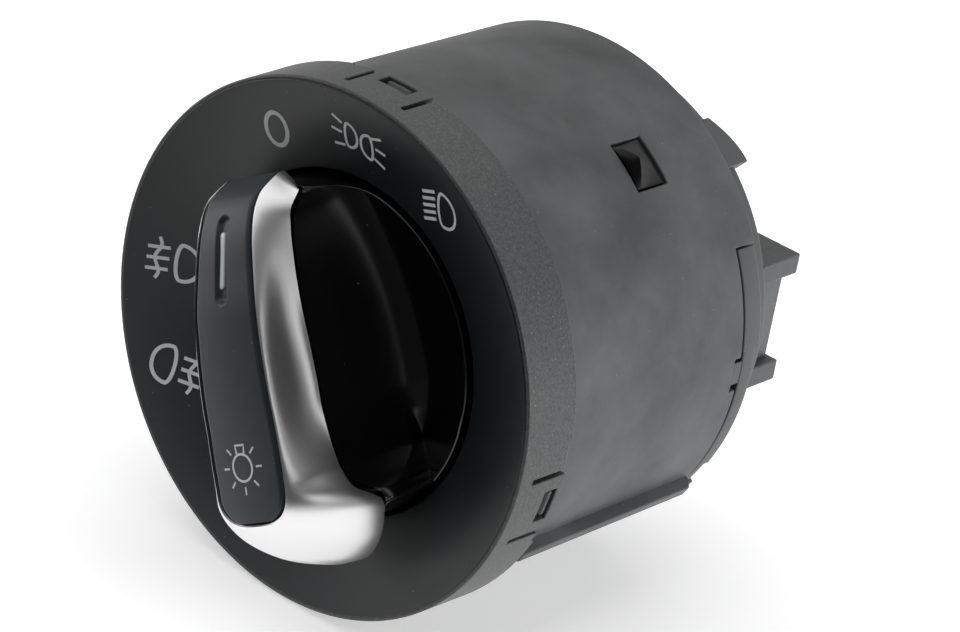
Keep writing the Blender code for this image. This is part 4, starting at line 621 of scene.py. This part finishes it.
def buildKnob(k, rows=150):
    radius = k["radius"] - k["rimRound"]
    turn = np.radians(np.linspace(-90, 90, rows + 1))[1:-1]
    turn = np.sort(np.concatenate([turn, np.arcsin((k["ridge"] + np.linspace(-0.5, 0.9, 12)) / radius)]))
    along = radius * np.sin(turn)
    chord = np.sqrt(radius ** 2 - along ** 2)
    edge = np.minimum(barFoot("HalfWidth", along), 0.93 * chord)
    foot = np.minimum(footEdge(along), edge + 0.8 * (chord - edge))
    step = foot + np.minimum(k["footStep"], 0.3 * (chord - foot))
    columns = [edge * share for share in (0, 0.5, 0.9, 1.0)]
    columns += [edge + (foot - edge) * (1 - math.cos(t)) / 2 for t in np.linspace(0, math.pi, 40)[1:]]
    columns += [foot + (step - foot) * share for share in np.linspace(0, 1, 7)[1:]]
    columns += [step + (chord - step) * share ** 1.3 for share in np.linspace(0, 1, 26)[1:]]
    half = np.stack(columns, axis=1)
    x = np.concatenate([-half[:, :0:-1], half], axis=1)
    y = along[:, None]
    top = joined(x, y, knobZ(x, y))
    tips = np.array([(0, end, float(knobZ(np.array(0.0), np.array(end)))) for end in (-radius, radius)])
    rowCount, columnCount = x.shape
    faces = gridFaces(rowCount, columnCount)
    lowTip = rowCount * columnCount
    highTip = lowTip + 1
    faces += [[i, lowTip, i + 1] for i in range(columnCount - 1)]
    last = (rowCount - 1) * columnCount
    faces += [[last + i, last + i + 1, highTip] for i in range(columnCount - 1)]
    points = np.concatenate([top.reshape(-1, 3), tips])
    starts = np.arange(rowCount) * columnCount
    border = np.concatenate([starts + columnCount - 1, [highTip], starts[::-1], [lowTip]])
    ring = points[border]
    angle = np.arctan2(ring[:, 1], ring[:, 0])
    count = len(border)

    def loopAt(r, z):
        return joined(r * np.cos(angle), r * np.sin(angle), z)

    # rounded rim, then the skirt, then its inner wall
    rim = k["rimRound"]
    loops = [loopAt(k["radius"] - rim * (1 - math.sin(t)), ring[:, 2] - rim * (1 - math.cos(t)))
             for t in np.linspace(0.2, math.pi / 2, 7)]
    inner, edge = k["radius"] - k["wall"], k["skirtEdge"]
    loops += [loopAt(r, k["skirtEnd"] + z) for r, z in
              ((k["radius"], edge), (k["radius"] - edge, 0), (inner, 0), (inner, k["skirtInside"]))]
    skirt = gridFaces(len(loops), count, False, True, len(points))
    below = len(points) + np.arange(count)
    joint = joined(border, np.roll(border, -1), np.roll(below, -1), below).tolist()
    lid = [list(below + (len(loops) - 1) * count)]
    setup = dress(glossAbs, "knob", "knob_plastic", ["knob_body"], 50)
    makePiece("knobBody", fromKnob(np.concatenate([points] + loops)), faces + joint + skirt + lid, setup)


buildKnob(knob)


print("grip trim")
trim = {
    "edgeRound": 0.22, "lipReach": 0.8, "below": 0.1, "roundPower": 1.6,
    "sections": 44, "straightSteps": 90, "endSteps": 60,
    "flareEnd": -3.0, "roundStart": -15.0, "topStart": 1.0, "topEnd": 15.0,
    "flareAcross": (0, 0.12, 0.22, 0.27, 0.33, 0.42, 0.6, 0.8, 1),
    "flareDown": (0, 0.02, 0.08, 0.18, 0.45, 0.65, 0.82, 0.93, 1),
}


def trimHalf(s):
    # crest line and foot line from the upper tip down one side to the middle of the low end
    share = np.linspace(1, 0, s["straightSteps"]) ** 0.8
    along = bar["straightEnd"] + (bar["top"] - bar["straightEnd"]) * share
    slant = bar["slant"] * np.clip((along - bar["slantStart"]) / (bar["top"] - bar["slantStart"]), 0, 1)
    crest = joined(smoothCurve(bar["place"], bar["halfWidth"], along), along, crestZ(along))
    low = along - slant
    foot = joined(barFoot("HalfWidth", low), low, barFoot("Z", low))
    share = np.linspace(0, 1, s["endSteps"])[1:]
    turn = share * math.pi / 2
    endAlong = bar["straightEnd"] - bar["endLength"] * np.sin(turn) ** (2 / bar["endPower"])
    endHalf = bar["halfWidth"][0] * np.maximum(np.cos(turn), 0) ** (2 / bar["endPower"])
    crestEnd = joined(endHalf, endAlong, crestZ(endAlong))
    number = np.arange(len(bar["endPlace"]))
    footEnd = joined(*[smoothCurve(number, bar[key], share * number[-1])
                       for key in ("endHalfWidth", "endPlace", "endZ")])
    return np.concatenate([crest, crestEnd]), np.concatenate([foot, footEnd])


def buildTrim(s):
    crest, foot = [np.concatenate([half, half[-2::-1] * (-1.0, 1.0, 1.0)]) for half in trimHalf(s)]
    crest[:, 2] -= s["below"]
    # along the bar the section falls steeply from a tight crest and flares out at its foot; round the low
    # end it is a full quarter, across by the sine and down by one minus the cosine, each to 2 / power
    share = np.linspace(0, 1, s["sections"])[:, None]
    number = np.arange(len(s["flareDown"]))
    flare = [smoothCurve(number, s[key], share * number[-1]) for key in ("flareAcross", "flareDown")]
    turn = share * math.pi / 2
    power = 2 / s["roundPower"]
    whole = [np.sin(turn) ** power, 1 - np.maximum(np.cos(turn), 0) ** power]
    # towards the upper tip it straightens to a plain slope
    slope = [share ** 0.85, share ** 1.15]
    low = smoothStep(s["flareEnd"], s["roundStart"], crest[:, 1])
    high = smoothStep(s["topStart"], s["topEnd"], crest[:, 1])
    across, down = [middle + (end - middle) * low + (tip - middle) * high
                    for middle, end, tip in zip(flare, whole, slope)]
    skin = crest + (foot - crest) * across[..., None]
    skin[..., 2] = crest[:, 2] + (foot[:, 2] - crest[:, 2]) * down
    base = joined(crest[:, 0], crest[:, 1], barFoot("Z", crest[:, 1]))
    middle = (foot + base) / 2
    middle[:, 2] = barFoot("Z", middle[:, 1])
    inward = (base - foot) * (1, 1, 0)
    inward /= np.maximum(np.linalg.norm(inward, axis=1), 1e-6)[:, None]
    # rounded edges: the skin stops short of both edges and a bevel closes the corner
    r = s["edgeRound"]
    lip = crest - (0, 0, r)
    under = [foot + inward * r * s["lipReach"], middle, base, (base + lip) / 2, lip]
    sections = np.concatenate([skin, under]).transpose(1, 0, 2)
    sections[:, 0] = crest + (foot - crest) * 0.02
    setup = dress(satinChrome, "knob", "trim_plating", ["grip_trim"], 60)
    sweptPiece("gripTrim", fromKnob(sections), setup)


buildTrim(trim)


print("grip insert")
insert = {
    "gap": 0.42, "crown": 0.35, "edgeRound": 0.6, "footLift": 0.3,
    "slotCentre": 13.8, "slotHalf": 1.15, "slotLength": 10.4, "slotDepth": 0.65, "slotSlope": 0.7,
    "denseHalf": 1.8, "denseRows": (7.0, 19.0),
    "lensHalf": 0.5, "lensLength": 6.5, "lensAside": -0.4, "lensShift": -0.1, "lensLift": 0.14,
}


def insertHalf(along):
    share = np.clip((bar["straightEnd"] - along) / bar["endLength"], 0, 0.9995)
    straightHalf = smoothCurve(bar["place"], bar["halfWidth"], along)
    endHalf = bar["halfWidth"][0] * (1 - share ** bar["endPower"]) ** (1 / bar["endPower"])
    return np.where(along < bar["straightEnd"], endHalf, straightHalf) - insert["gap"]


def insertZ(x, along):
    # crest line with a low crown across, less the indicator slot, a straight run with round ends
    s = insert
    half = np.maximum(insertHalf(along), 0.05)
    crown = s["crown"] * (1 - np.clip(np.abs(x) / half, 0, 1) ** 2)
    run = s["slotLength"] / 2 - s["slotHalf"]
    beyond = np.maximum(np.abs(along - s["slotCentre"]) - run, 0)
    outside = np.hypot(x, beyond) - s["slotHalf"]
    return crestZ(along) + crown - s["slotDepth"] * (1 - smoothStep(-s["slotSlope"], 0.0, outside))


def buildInsert(s):
    low = bar["straightEnd"] - bar["endLength"] + s["gap"]
    share = np.linspace(0, 1, 46)[1:]
    end = bar["straightEnd"] + (low - bar["straightEnd"]) * np.sin(share * math.pi / 2)
    first, last = s["denseRows"]
    plain = np.arange(bar["straightEnd"], first, 0.45)
    top = np.linspace(last, bar["top"], 26)
    along = np.unique(np.concatenate([end, plain, np.arange(first, last, 0.11), top]))
    half = np.maximum(insertHalf(along), 0.02)
    r = s["edgeRound"]
    # across the top: dense over the slot, then out to the rounded edge
    zone = s["denseHalf"]
    middle = np.concatenate([-np.linspace(zone, 0.0, 18, endpoint=False), np.linspace(0.0, zone, 19)])
    flat = np.maximum(half - r, half * 0.3)[:, None]
    scale = np.minimum(1.0, flat * 0.8 / zone)
    side = zone * scale + (flat - zone * scale) * np.linspace(0, 1, 9)[1:]
    x = np.concatenate([-side[:, ::-1], middle * scale, side], axis=1)
    y = along[:, None]
    z = insertZ(x, y)
    skin = joined(x, y, z)
    outer, edgeZ, foot = x[:, -1], z[:, -1], barFoot("Z", along) + s["footLift"]
    reach = half - outer
    right = [(outer + reach * math.sin(t), edgeZ - np.minimum(r, reach) * (1 - math.cos(t)))
             for t in np.linspace(0, math.pi / 2, 7)[1:]]
    right += [(half, np.minimum(edgeZ - 1.0, edgeZ * 0.5 + foot * 0.5)), (half, foot)]
    right = np.stack([joined(across, along, level) for across, level in right], axis=1)
    left = right[:, ::-1] * (-1.0, 1.0, 1.0)
    sections = np.concatenate([left, skin, right], axis=1)
    setup = dress(softTouch, "knob", "insert_coating", ["grip_insert"], 50)
    sweptPiece("gripInsert", fromKnob(sections), setup)


def buildLens(s):
    # light bar in the slot: a slot-shaped top on short walls, following the crest
    turn = np.linspace(0, 2 * math.pi, 40, endpoint=False)
    run = s["lensLength"] / 2 - s["lensHalf"]
    rings = []
    for scale, lift in ((0.05, 0.06), (0.55, 0.05), (0.85, 0.02), (1.0, -0.08), (1.0, -0.6)):
        half = s["lensHalf"] * scale
        x = s["lensAside"] + half * np.sin(turn)
        along = s["slotCentre"] + s["lensShift"] + np.sign(np.cos(turn)) * run + half * np.cos(turn)
        base = crestZ(along) + s["crown"] - s["slotDepth"] + s["lensLift"]
        rings.append(joined(x, along, base + lift))
    setup = dress(milkyLens, "knob", "lens_plastic", ["indicator_lens"], 50)
    sweptPiece("indicatorLens", fromKnob(rings), setup)


def buildLampMark():
    # switched-lamp symbol on the insert: a ring with its cap on top and seven rays
    centre = np.array((-0.25, -10.5))
    cap = np.array([(-0.62, 1.7), (-0.74, 2.7), (0.74, 2.7), (0.62, 1.7)])
    strokes = [(ellipse(3.26, 3.26), 0.28), (cap, 0.3)]
    for ray in (-135, -90, -45, 45, 90, 135, 180):
        strokes.append((straight(around(ray, 2.3), around(ray, 3.25), 3), 0.24))
    placed = [(line + centre, width) for line, width in strokes]
    points, faces = ribbons(placed, insertZ, 0.03, 0.02, False)
    setup = dress(printInk, "knob", "insert_coating", sharp=40)
    makePiece("markSwitchedLamp", fromKnob(points), faces, setup)


buildInsert(insert)
buildLens(insert)
buildLampMark()


print("barrel")
barrel = {
    "radius": 32.6, "wall": 2.0, "front": 6.0, "back": -37.8, "rimStep": -34.0, "cut": (60.4, 124.8),
    "notch": (85.2, 93.1), "notchDepth": 1.15, "windows": (36.3, 216.3 - 360), "windowWidth": 6.9,
    "window": (-26.0, -20.4), "rail": (118.5, 121.4), "railHeight": 1.6, "railBack": -33.2, "railCorner": 0.9,
    "root": 0.5, "hookHeight": 1.2, "hookMargin": 0.3, "hookSide": 0.6, "neckRadius": 31.9,
    "neckRows": (-0.35, -0.2), "seat": -0.3, "ribBack": -1.1, "ribHeight": 0.25,
    "ribs": ((-14.5, -3.0), (4.0, 11.0)),
}


def barrelPart(bevel, replaces=()):
    return dress(barrelNylon, "housing", "barrel_plastic", replaces, bevel=bevel)


def buildBarrel(s):
    half = math.degrees(s["windowWidth"] / 2 / s["radius"])
    edges = [centre + side * half for centre in s["windows"] for side in (-1, 1)]
    edges += [side * angle for side in (-1, 1) for angle in (*s["cut"], *s["notch"])]
    notch = s["rimStep"] + s["notchDepth"]
    levels = [s["back"], s["rimStep"], notch, *s["window"], *s["neckRows"], s["front"]]
    heights = linesWith(s["back"], s["front"], 1.3, levels)
    angles, middle, level, solid = cellGrid(1.2, edges, heights)
    for centre in s["windows"]:
        solid[np.ix_(np.abs(middle - centre) < half, between(level, *s["window"]))] = False
    solid[np.ix_(between(np.abs(middle), *s["cut"]), level < s["rimStep"])] = False
    solid[np.ix_(between(np.abs(middle), *s["notch"]), level < notch)] = False
    # the wall steps in under the ring
    outer = np.where(heights > s["neckRows"][0], s["neckRadius"], s["radius"])
    inner = np.full(len(heights), s["radius"] - s["wall"])
    setup = barrelPart(0.15, ["barrel_housing"])
    cutShell("barrelShell", angles, heights, solid, outer, inner, setup)
    root, top = s["radius"] - s["root"], s["radius"] + s["railHeight"]
    back, corner = s["railBack"], s["railCorner"]
    rail = [(root, s["seat"]), (top, s["seat"]), (top, back + corner), (top - corner, back), (root, back)]
    rail = roundCorners(rail, [0, 0.3, 0.4, 0.4, 0])
    for side, sideName in sides:
        start, end = side * s["rail"][0], side * s["rail"][1]
        arcPiece("guideRail" + sideName, rail, start, end, barrelPart(0.15), 6)


def buildClipDetails(s):
    # snap hooks in the bezel's windows and the seat ribs behind its edge
    half = math.degrees((bezel["windowWidth"] / 2 - s["hookSide"]) / s["radius"])
    back, front = bezel["window"][0] + s["hookMargin"], bezel["window"][1] - s["hookMargin"]
    root, top = s["radius"] - s["root"], s["radius"] + s["hookHeight"]
    hook = [(root, back), (top, back), (top, back + 0.5), (root, front)]
    rib = oblong(root, s["seat"], s["radius"] + s["ribHeight"], s["ribBack"])
    for number, clip in enumerate(bezel["clips"], start=1):
        arcPiece(f"snapHook{number}", hook, clip - half, clip + half, barrelPart(0.1), 8)
        for start, end in s["ribs"]:
            name = f"seatRib{number}_{int(end) + 3}"
            arcPiece(name, rib, clip + start, clip + end, barrelPart(0.06), 12)


buildBarrel(barrel)
buildClipDetails(barrel)


print("catches")
catch = {
    "front": -20.75, "back": -25.65, "neck": 3.1, "footExtra": 1.1, "innerRadius": 24.3, "footRadius": 30.0,
    "nose": 1.9, "base": 31.9, "ridgeAt": 0.12,
}


def buildCatch(s, name, node, angle):
    # neck and nose: the nose is a roof across the catch that rises steeply at its front and falls back
    share = np.concatenate([np.linspace(0, 0.3, 8), np.linspace(0.3, 1, 24)[1:]])
    z = s["front"] + (s["back"] - s["front"]) * share
    ridge = s["ridgeAt"]
    height = np.where(share < ridge, 0.3 + 0.7 * share / ridge, 1.0 - 0.93 * (share - ridge) / (1 - ridge))
    x = np.linspace(-s["neck"], s["neck"], 31)
    roof = 1 - (np.abs(x) / s["neck"]) ** 1.3
    top = s["base"] + 0.25 + (s["nose"] + 0.45) * height[:, None] * roof
    foot, inner, wide = s["footRadius"], s["innerRadius"], s["neck"] + s["footExtra"]
    under = [(wide, foot), (wide, inner), (-wide, inner), (-wide, foot)]
    under = [(s["neck"], foot), *under, (-s["neck"], foot)]
    outline = np.concatenate([joined(x, top), np.broadcast_to(under, (len(z), len(under), 2))], axis=1)
    sections = joined(*turned(outline[..., 0], outline[..., 1], -angle), z[:, None])
    sweptPiece(name, sections, dress(catchAcetal, node, "catch_plastic", [node], 30, 0.12))


buildCatch(catch, "catchRight", "catch_right", 36.3)
buildCatch(catch, "catchLeft", "catch_left", 216.3)


print("rear cover")
cover = {
    "radius": 30.3, "front": -34.3, "wall": 2.0, "drumRadius": 28.5, "drumBack": -44.2, "drumWall": 1.8,
    "rampStart": 28.0, "rampEnd": 42.0, "rampBack": -45.6, "rampRoot": 0.6, "rampReach": 0.9,
    "socketHalf": 26.6, "socketTop": 10.55, "socketBottom": -7.5, "socketBack": -51.4, "socketWall": 1.6,
    "socketStep": 0.4, "socketFloor": -38.4, "flange": 2.85, "flangeReach": 1.7, "flangeRoot": -43.5,
    "holeSide": 0.8, "holeEnd": 1.2, "root": 29.5,
    # name, outer radius, front, back, corner, first and last angle, steps
    "bands": (
        ("coverBandHigh", 32.5, -34.4, -37.9, 0.5, 60.9, 84.2, 30),
        ("coverBandMiddle", 32.4, -34.65, -37.2, 0.4, 81.2, 116.8, 34),
        ("coverBandLow", 32.4, -34.65, -36.3, 0.4, 115.8, 124.3, 10),
        ("coverLug", 32.3, -33.15, -35.2, 0.0, 86.4, 91.9, 8),
    ),
}


def coverPart(bevel=0, replaces=()):
    return dress(coverNylon, "housing", "cover_plastic", replaces, bevel=bevel)


def buildCover(s):
    lidBack, floor = s["front"] - s["wall"], s["drumBack"] + s["drumWall"]
    hollow = s["drumRadius"] - s["drumWall"]
    # turned lid and drum; its floor is open where the socket passes: that edge follows the socket's walls
    turn = np.radians(np.linspace(0, 360, 240, endpoint=False))
    wide = s["socketHalf"] - s["flangeReach"] - s["holeSide"]
    high = np.where(np.cos(turn) > 0, s["socketTop"], -s["socketBottom"]) - s["holeEnd"]
    across, along = [np.maximum(np.abs(part), 1e-6) for part in (np.sin(turn), np.cos(turn))]
    hole = np.minimum(wide / across, high / along)
    outline = [(0, floor), (hollow, floor), (hollow, s["front"]), (s["radius"], s["front"]),
               (s["radius"], lidBack), (s["drumRadius"], lidBack), (s["drumRadius"], s["drumBack"]),
               (0, s["drumBack"])]
    profile = roundCorners(outline, [0, 0, 0.2, 0.3, 0.3, 0.3, 0.8, 0])
    radius = np.tile(profile[:, 0], (len(turn), 1))
    radius[:, 0] = radius[:, -1] = hole
    drum = spun(radius, profile[:, 1], np.degrees(turn))
    sweptPiece("coverDrum", drum, coverPart(0, ["rear_cover"]), True)
    for side, sideName in sides:
        for name, outer, front, back, corner, start, end, steps in s["bands"]:
            small = min(0.2, corner)
            band = roundCorners(oblong(s["root"], front, outer, back), [0, small, corner, small])
            arcPiece(name + sideName, band, side * start, side * end, coverPart(0.12), steps)
    ramp, root = [], lidBack + s["rampRoot"]
    for share in np.linspace(0, 1, 15):
        angle = s["rampStart"] + (s["rampEnd"] - s["rampStart"]) * share
        start = s["drumBack"] + s["rampRoot"]
        low = start + (s["rampBack"] - start) * math.sin(share * math.pi / 2)
        outer, inner = around(angle, s["drumRadius"] + s["rampReach"]), around(angle, hollow + s["rampRoot"])
        ramp.append([(*outer, root), (*outer, low), (*inner, low), (*inner, root)])
    sweptPiece("coverRamp", ramp, coverPart(0.15))


def buildSocket(s):
    # walls of the socket: a rounded rectangle with a rectangular hole, carried along its depth
    wall, step, back = s["socketWall"], s["socketStep"], s["socketBack"]
    half = s["socketHalf"] - s["flangeReach"]
    top, bottom = s["socketTop"] - step, s["socketBottom"] + step
    outer = roundCorners(oblong(-half, bottom, half, top), 0.6)
    inner = roundCorners(oblong(wall - half, bottom + wall, half - wall, top - wall), 0.5)
    rim, floor = back + step, s["socketFloor"]
    loops = [(outer, floor + wall), (outer, rim + 0.15), (outer * 0.996, rim), (inner * 1.006, rim),
             (inner, rim + 0.15), (inner, floor)]
    sweptPiece("socketShell", [joined(*loop.T, z) for loop, z in loops], coverPart())
    # flanges along the socket's two long walls: a thick corner at each end and a thin middle
    root, reach = s["flangeRoot"], half - wall + 0.2
    under, over = s["socketBottom"], s["socketTop"]
    for name, low, high, thinLow, thinHigh in (
            ("socketFlangeLow", under, under + s["flange"], under, bottom + wall),
            ("socketFlangeTop", over - s["flange"], over, top - wall, over)):
        for side, sideName in sides:
            near, far = sorted((side * (half - wall), side * s["socketHalf"]))
            boxPiece(name + sideName, (near, low, back), (far, high, root), coverPart(0.25))
        boxPiece(name + "Middle", (-reach, thinLow, back), (reach, thinHigh, root), coverPart(0.2))


buildCover(cover)
buildSocket(cover)


print("studio")
cameraAt = np.array((0.27931171, -0.34223161, 0.21301250))   # solved from the photograph's ellipses
cameraAxes = np.array(((0.73470688, -0.39682431, 0.55021474), (0.65870903, 0.22338392, -0.71847201),
                       (0.16219803, 0.89029775, 0.42551346)))
studio = {
    "lens": 150.0, "floorZ": -0.0345, "floorFront": -0.08, "floorHalf": 7.0, "bendStart": 2.0,
    "bendRadius": 0.8, "wallTop": 4.0, "glowStart": 0.12, "glowEnd": 0.7, "nearGlow": 0.4, "farGlow": 1.0,
    "mirrorGlow": 0.75, "room": 0.08,
    # name, place, target, size, power, seen in gloss
    "lamps": (
        ("topBox", (-0.1, 0.02, 0.7), (0, 0.02, 0), (1.2, 0.9), 4.6, True),
        ("leftBox", (-0.80, -0.38, 0.20), (0, 0, 0), (0.5, 0.5), 3.8, True),
        ("backBox", (0.66, 0.60, 0.30), (0, 0.02, 0), (0.4, 0.5), 2.0, False),
        ("lowBox", (0.52, 0.30, -0.005), (0, 0.03, 0), (0.6, 0.12), 5.5, False),
        ("frontBox", (-0.42, -0.66, 0.50), (0, 0, 0), (0.35, 0.35), 0.6, True),
        ("rightCard", (0.77, -0.03, 0.35), (0, 0, 0), (0.3, 0.4), 0.45, True),
    ),
}


def addArea(name, place, target, size, power, mirrored):
    lamp = bpy.data.lights.new(name, "AREA")
    lamp.shape = "RECTANGLE"
    lamp.size, lamp.size_y = size
    lamp.energy = power
    holder = addObject(name, lamp)
    holder.location = place
    holder.rotation_euler = (Vector(target) - holder.location).to_track_quat("-Z", "Y").to_euler()
    holder.visible_camera = False
    holder.visible_glossy = mirrored


def buildSweep(s):
    # white sweep: a floor that curves up into a wall far behind
    bend, radius = s["bendStart"], s["bendRadius"]
    profile = [(s["floorFront"], s["floorZ"])]
    profile += [(bend + radius * math.sin(t), s["floorZ"] + radius * (1 - math.cos(t)))
                for t in np.linspace(0, math.pi / 2, 16)]
    profile += [(bend + radius, s["wallTop"])]
    points = [(x, y, z) for x in (-s["floorHalf"], s["floorHalf"]) for y, z in profile]
    mesh = bpy.data.meshes.new("studioSweep")
    mesh.from_pydata(points, [], gridFaces(2, len(profile)))
    mesh.shade_smooth()
    addObject("studioSweep", mesh)
    settings = {"Base Color": colour("#f4f4f4"), "Roughness": 0.9}
    material, tree, shader, place = newMaterial("studioPaper", settings)
    path = addNode(tree, "LightPath").outputs
    # the paper glows more the further it lies from the object, whose shadow stays on the near part
    away = addNode(tree, "VectorMath", {"operation": "LENGTH"}, {0: place}).outputs["Value"]
    level = mapped(tree, away, s["glowStart"], s["glowEnd"], s["nearGlow"], s["farGlow"])
    direct = addMath(tree, "MULTIPLY", path["Is Camera Ray"], level)
    mirrored = addMath(tree, "MAXIMUM", path["Is Glossy Ray"], path["Is Transmission Ray"])
    glow = addMath(tree, "MULTIPLY_ADD", mirrored, s["mirrorGlow"], direct)
    shader.inputs["Emission Color"].default_value = (1, 1, 1, 1)
    tree.links.new(glow, shader.inputs["Emission Strength"])
    mesh.materials.append(material)


def buildStudio(s):
    scene = bpy.context.scene
    data = bpy.data.cameras.new("productCamera")
    data.lens, data.sensor_width = s["lens"], 36.0
    data.clip_start, data.clip_end = 0.01, 20.0
    camera = addObject("productCamera", data)
    pose = np.eye(4)
    pose[:3, :3], pose[:3, 3] = cameraAxes, cameraAt
    camera.matrix_world = Matrix(pose.tolist())
    scene.camera = camera
    buildSweep(s)
    world = bpy.data.worlds.new("studioWorld")
    scene.world = world
    world.use_nodes = True
    tree = world.node_tree
    sky = tree.nodes["Background"]
    sky.inputs["Color"].default_value = colour("#ffffff")
    # a dim room for the object, white where the camera looks past the paper
    path = addNode(tree, "LightPath").outputs
    room = addMath(tree, "MULTIPLY_ADD", path["Is Camera Ray"], 1 - s["room"], s["room"])
    tree.links.new(room, sky.inputs["Strength"])
    for lamp in s["lamps"]:
        addArea(*lamp)
    scene.view_settings.view_transform = "Standard"


buildStudio(studio)
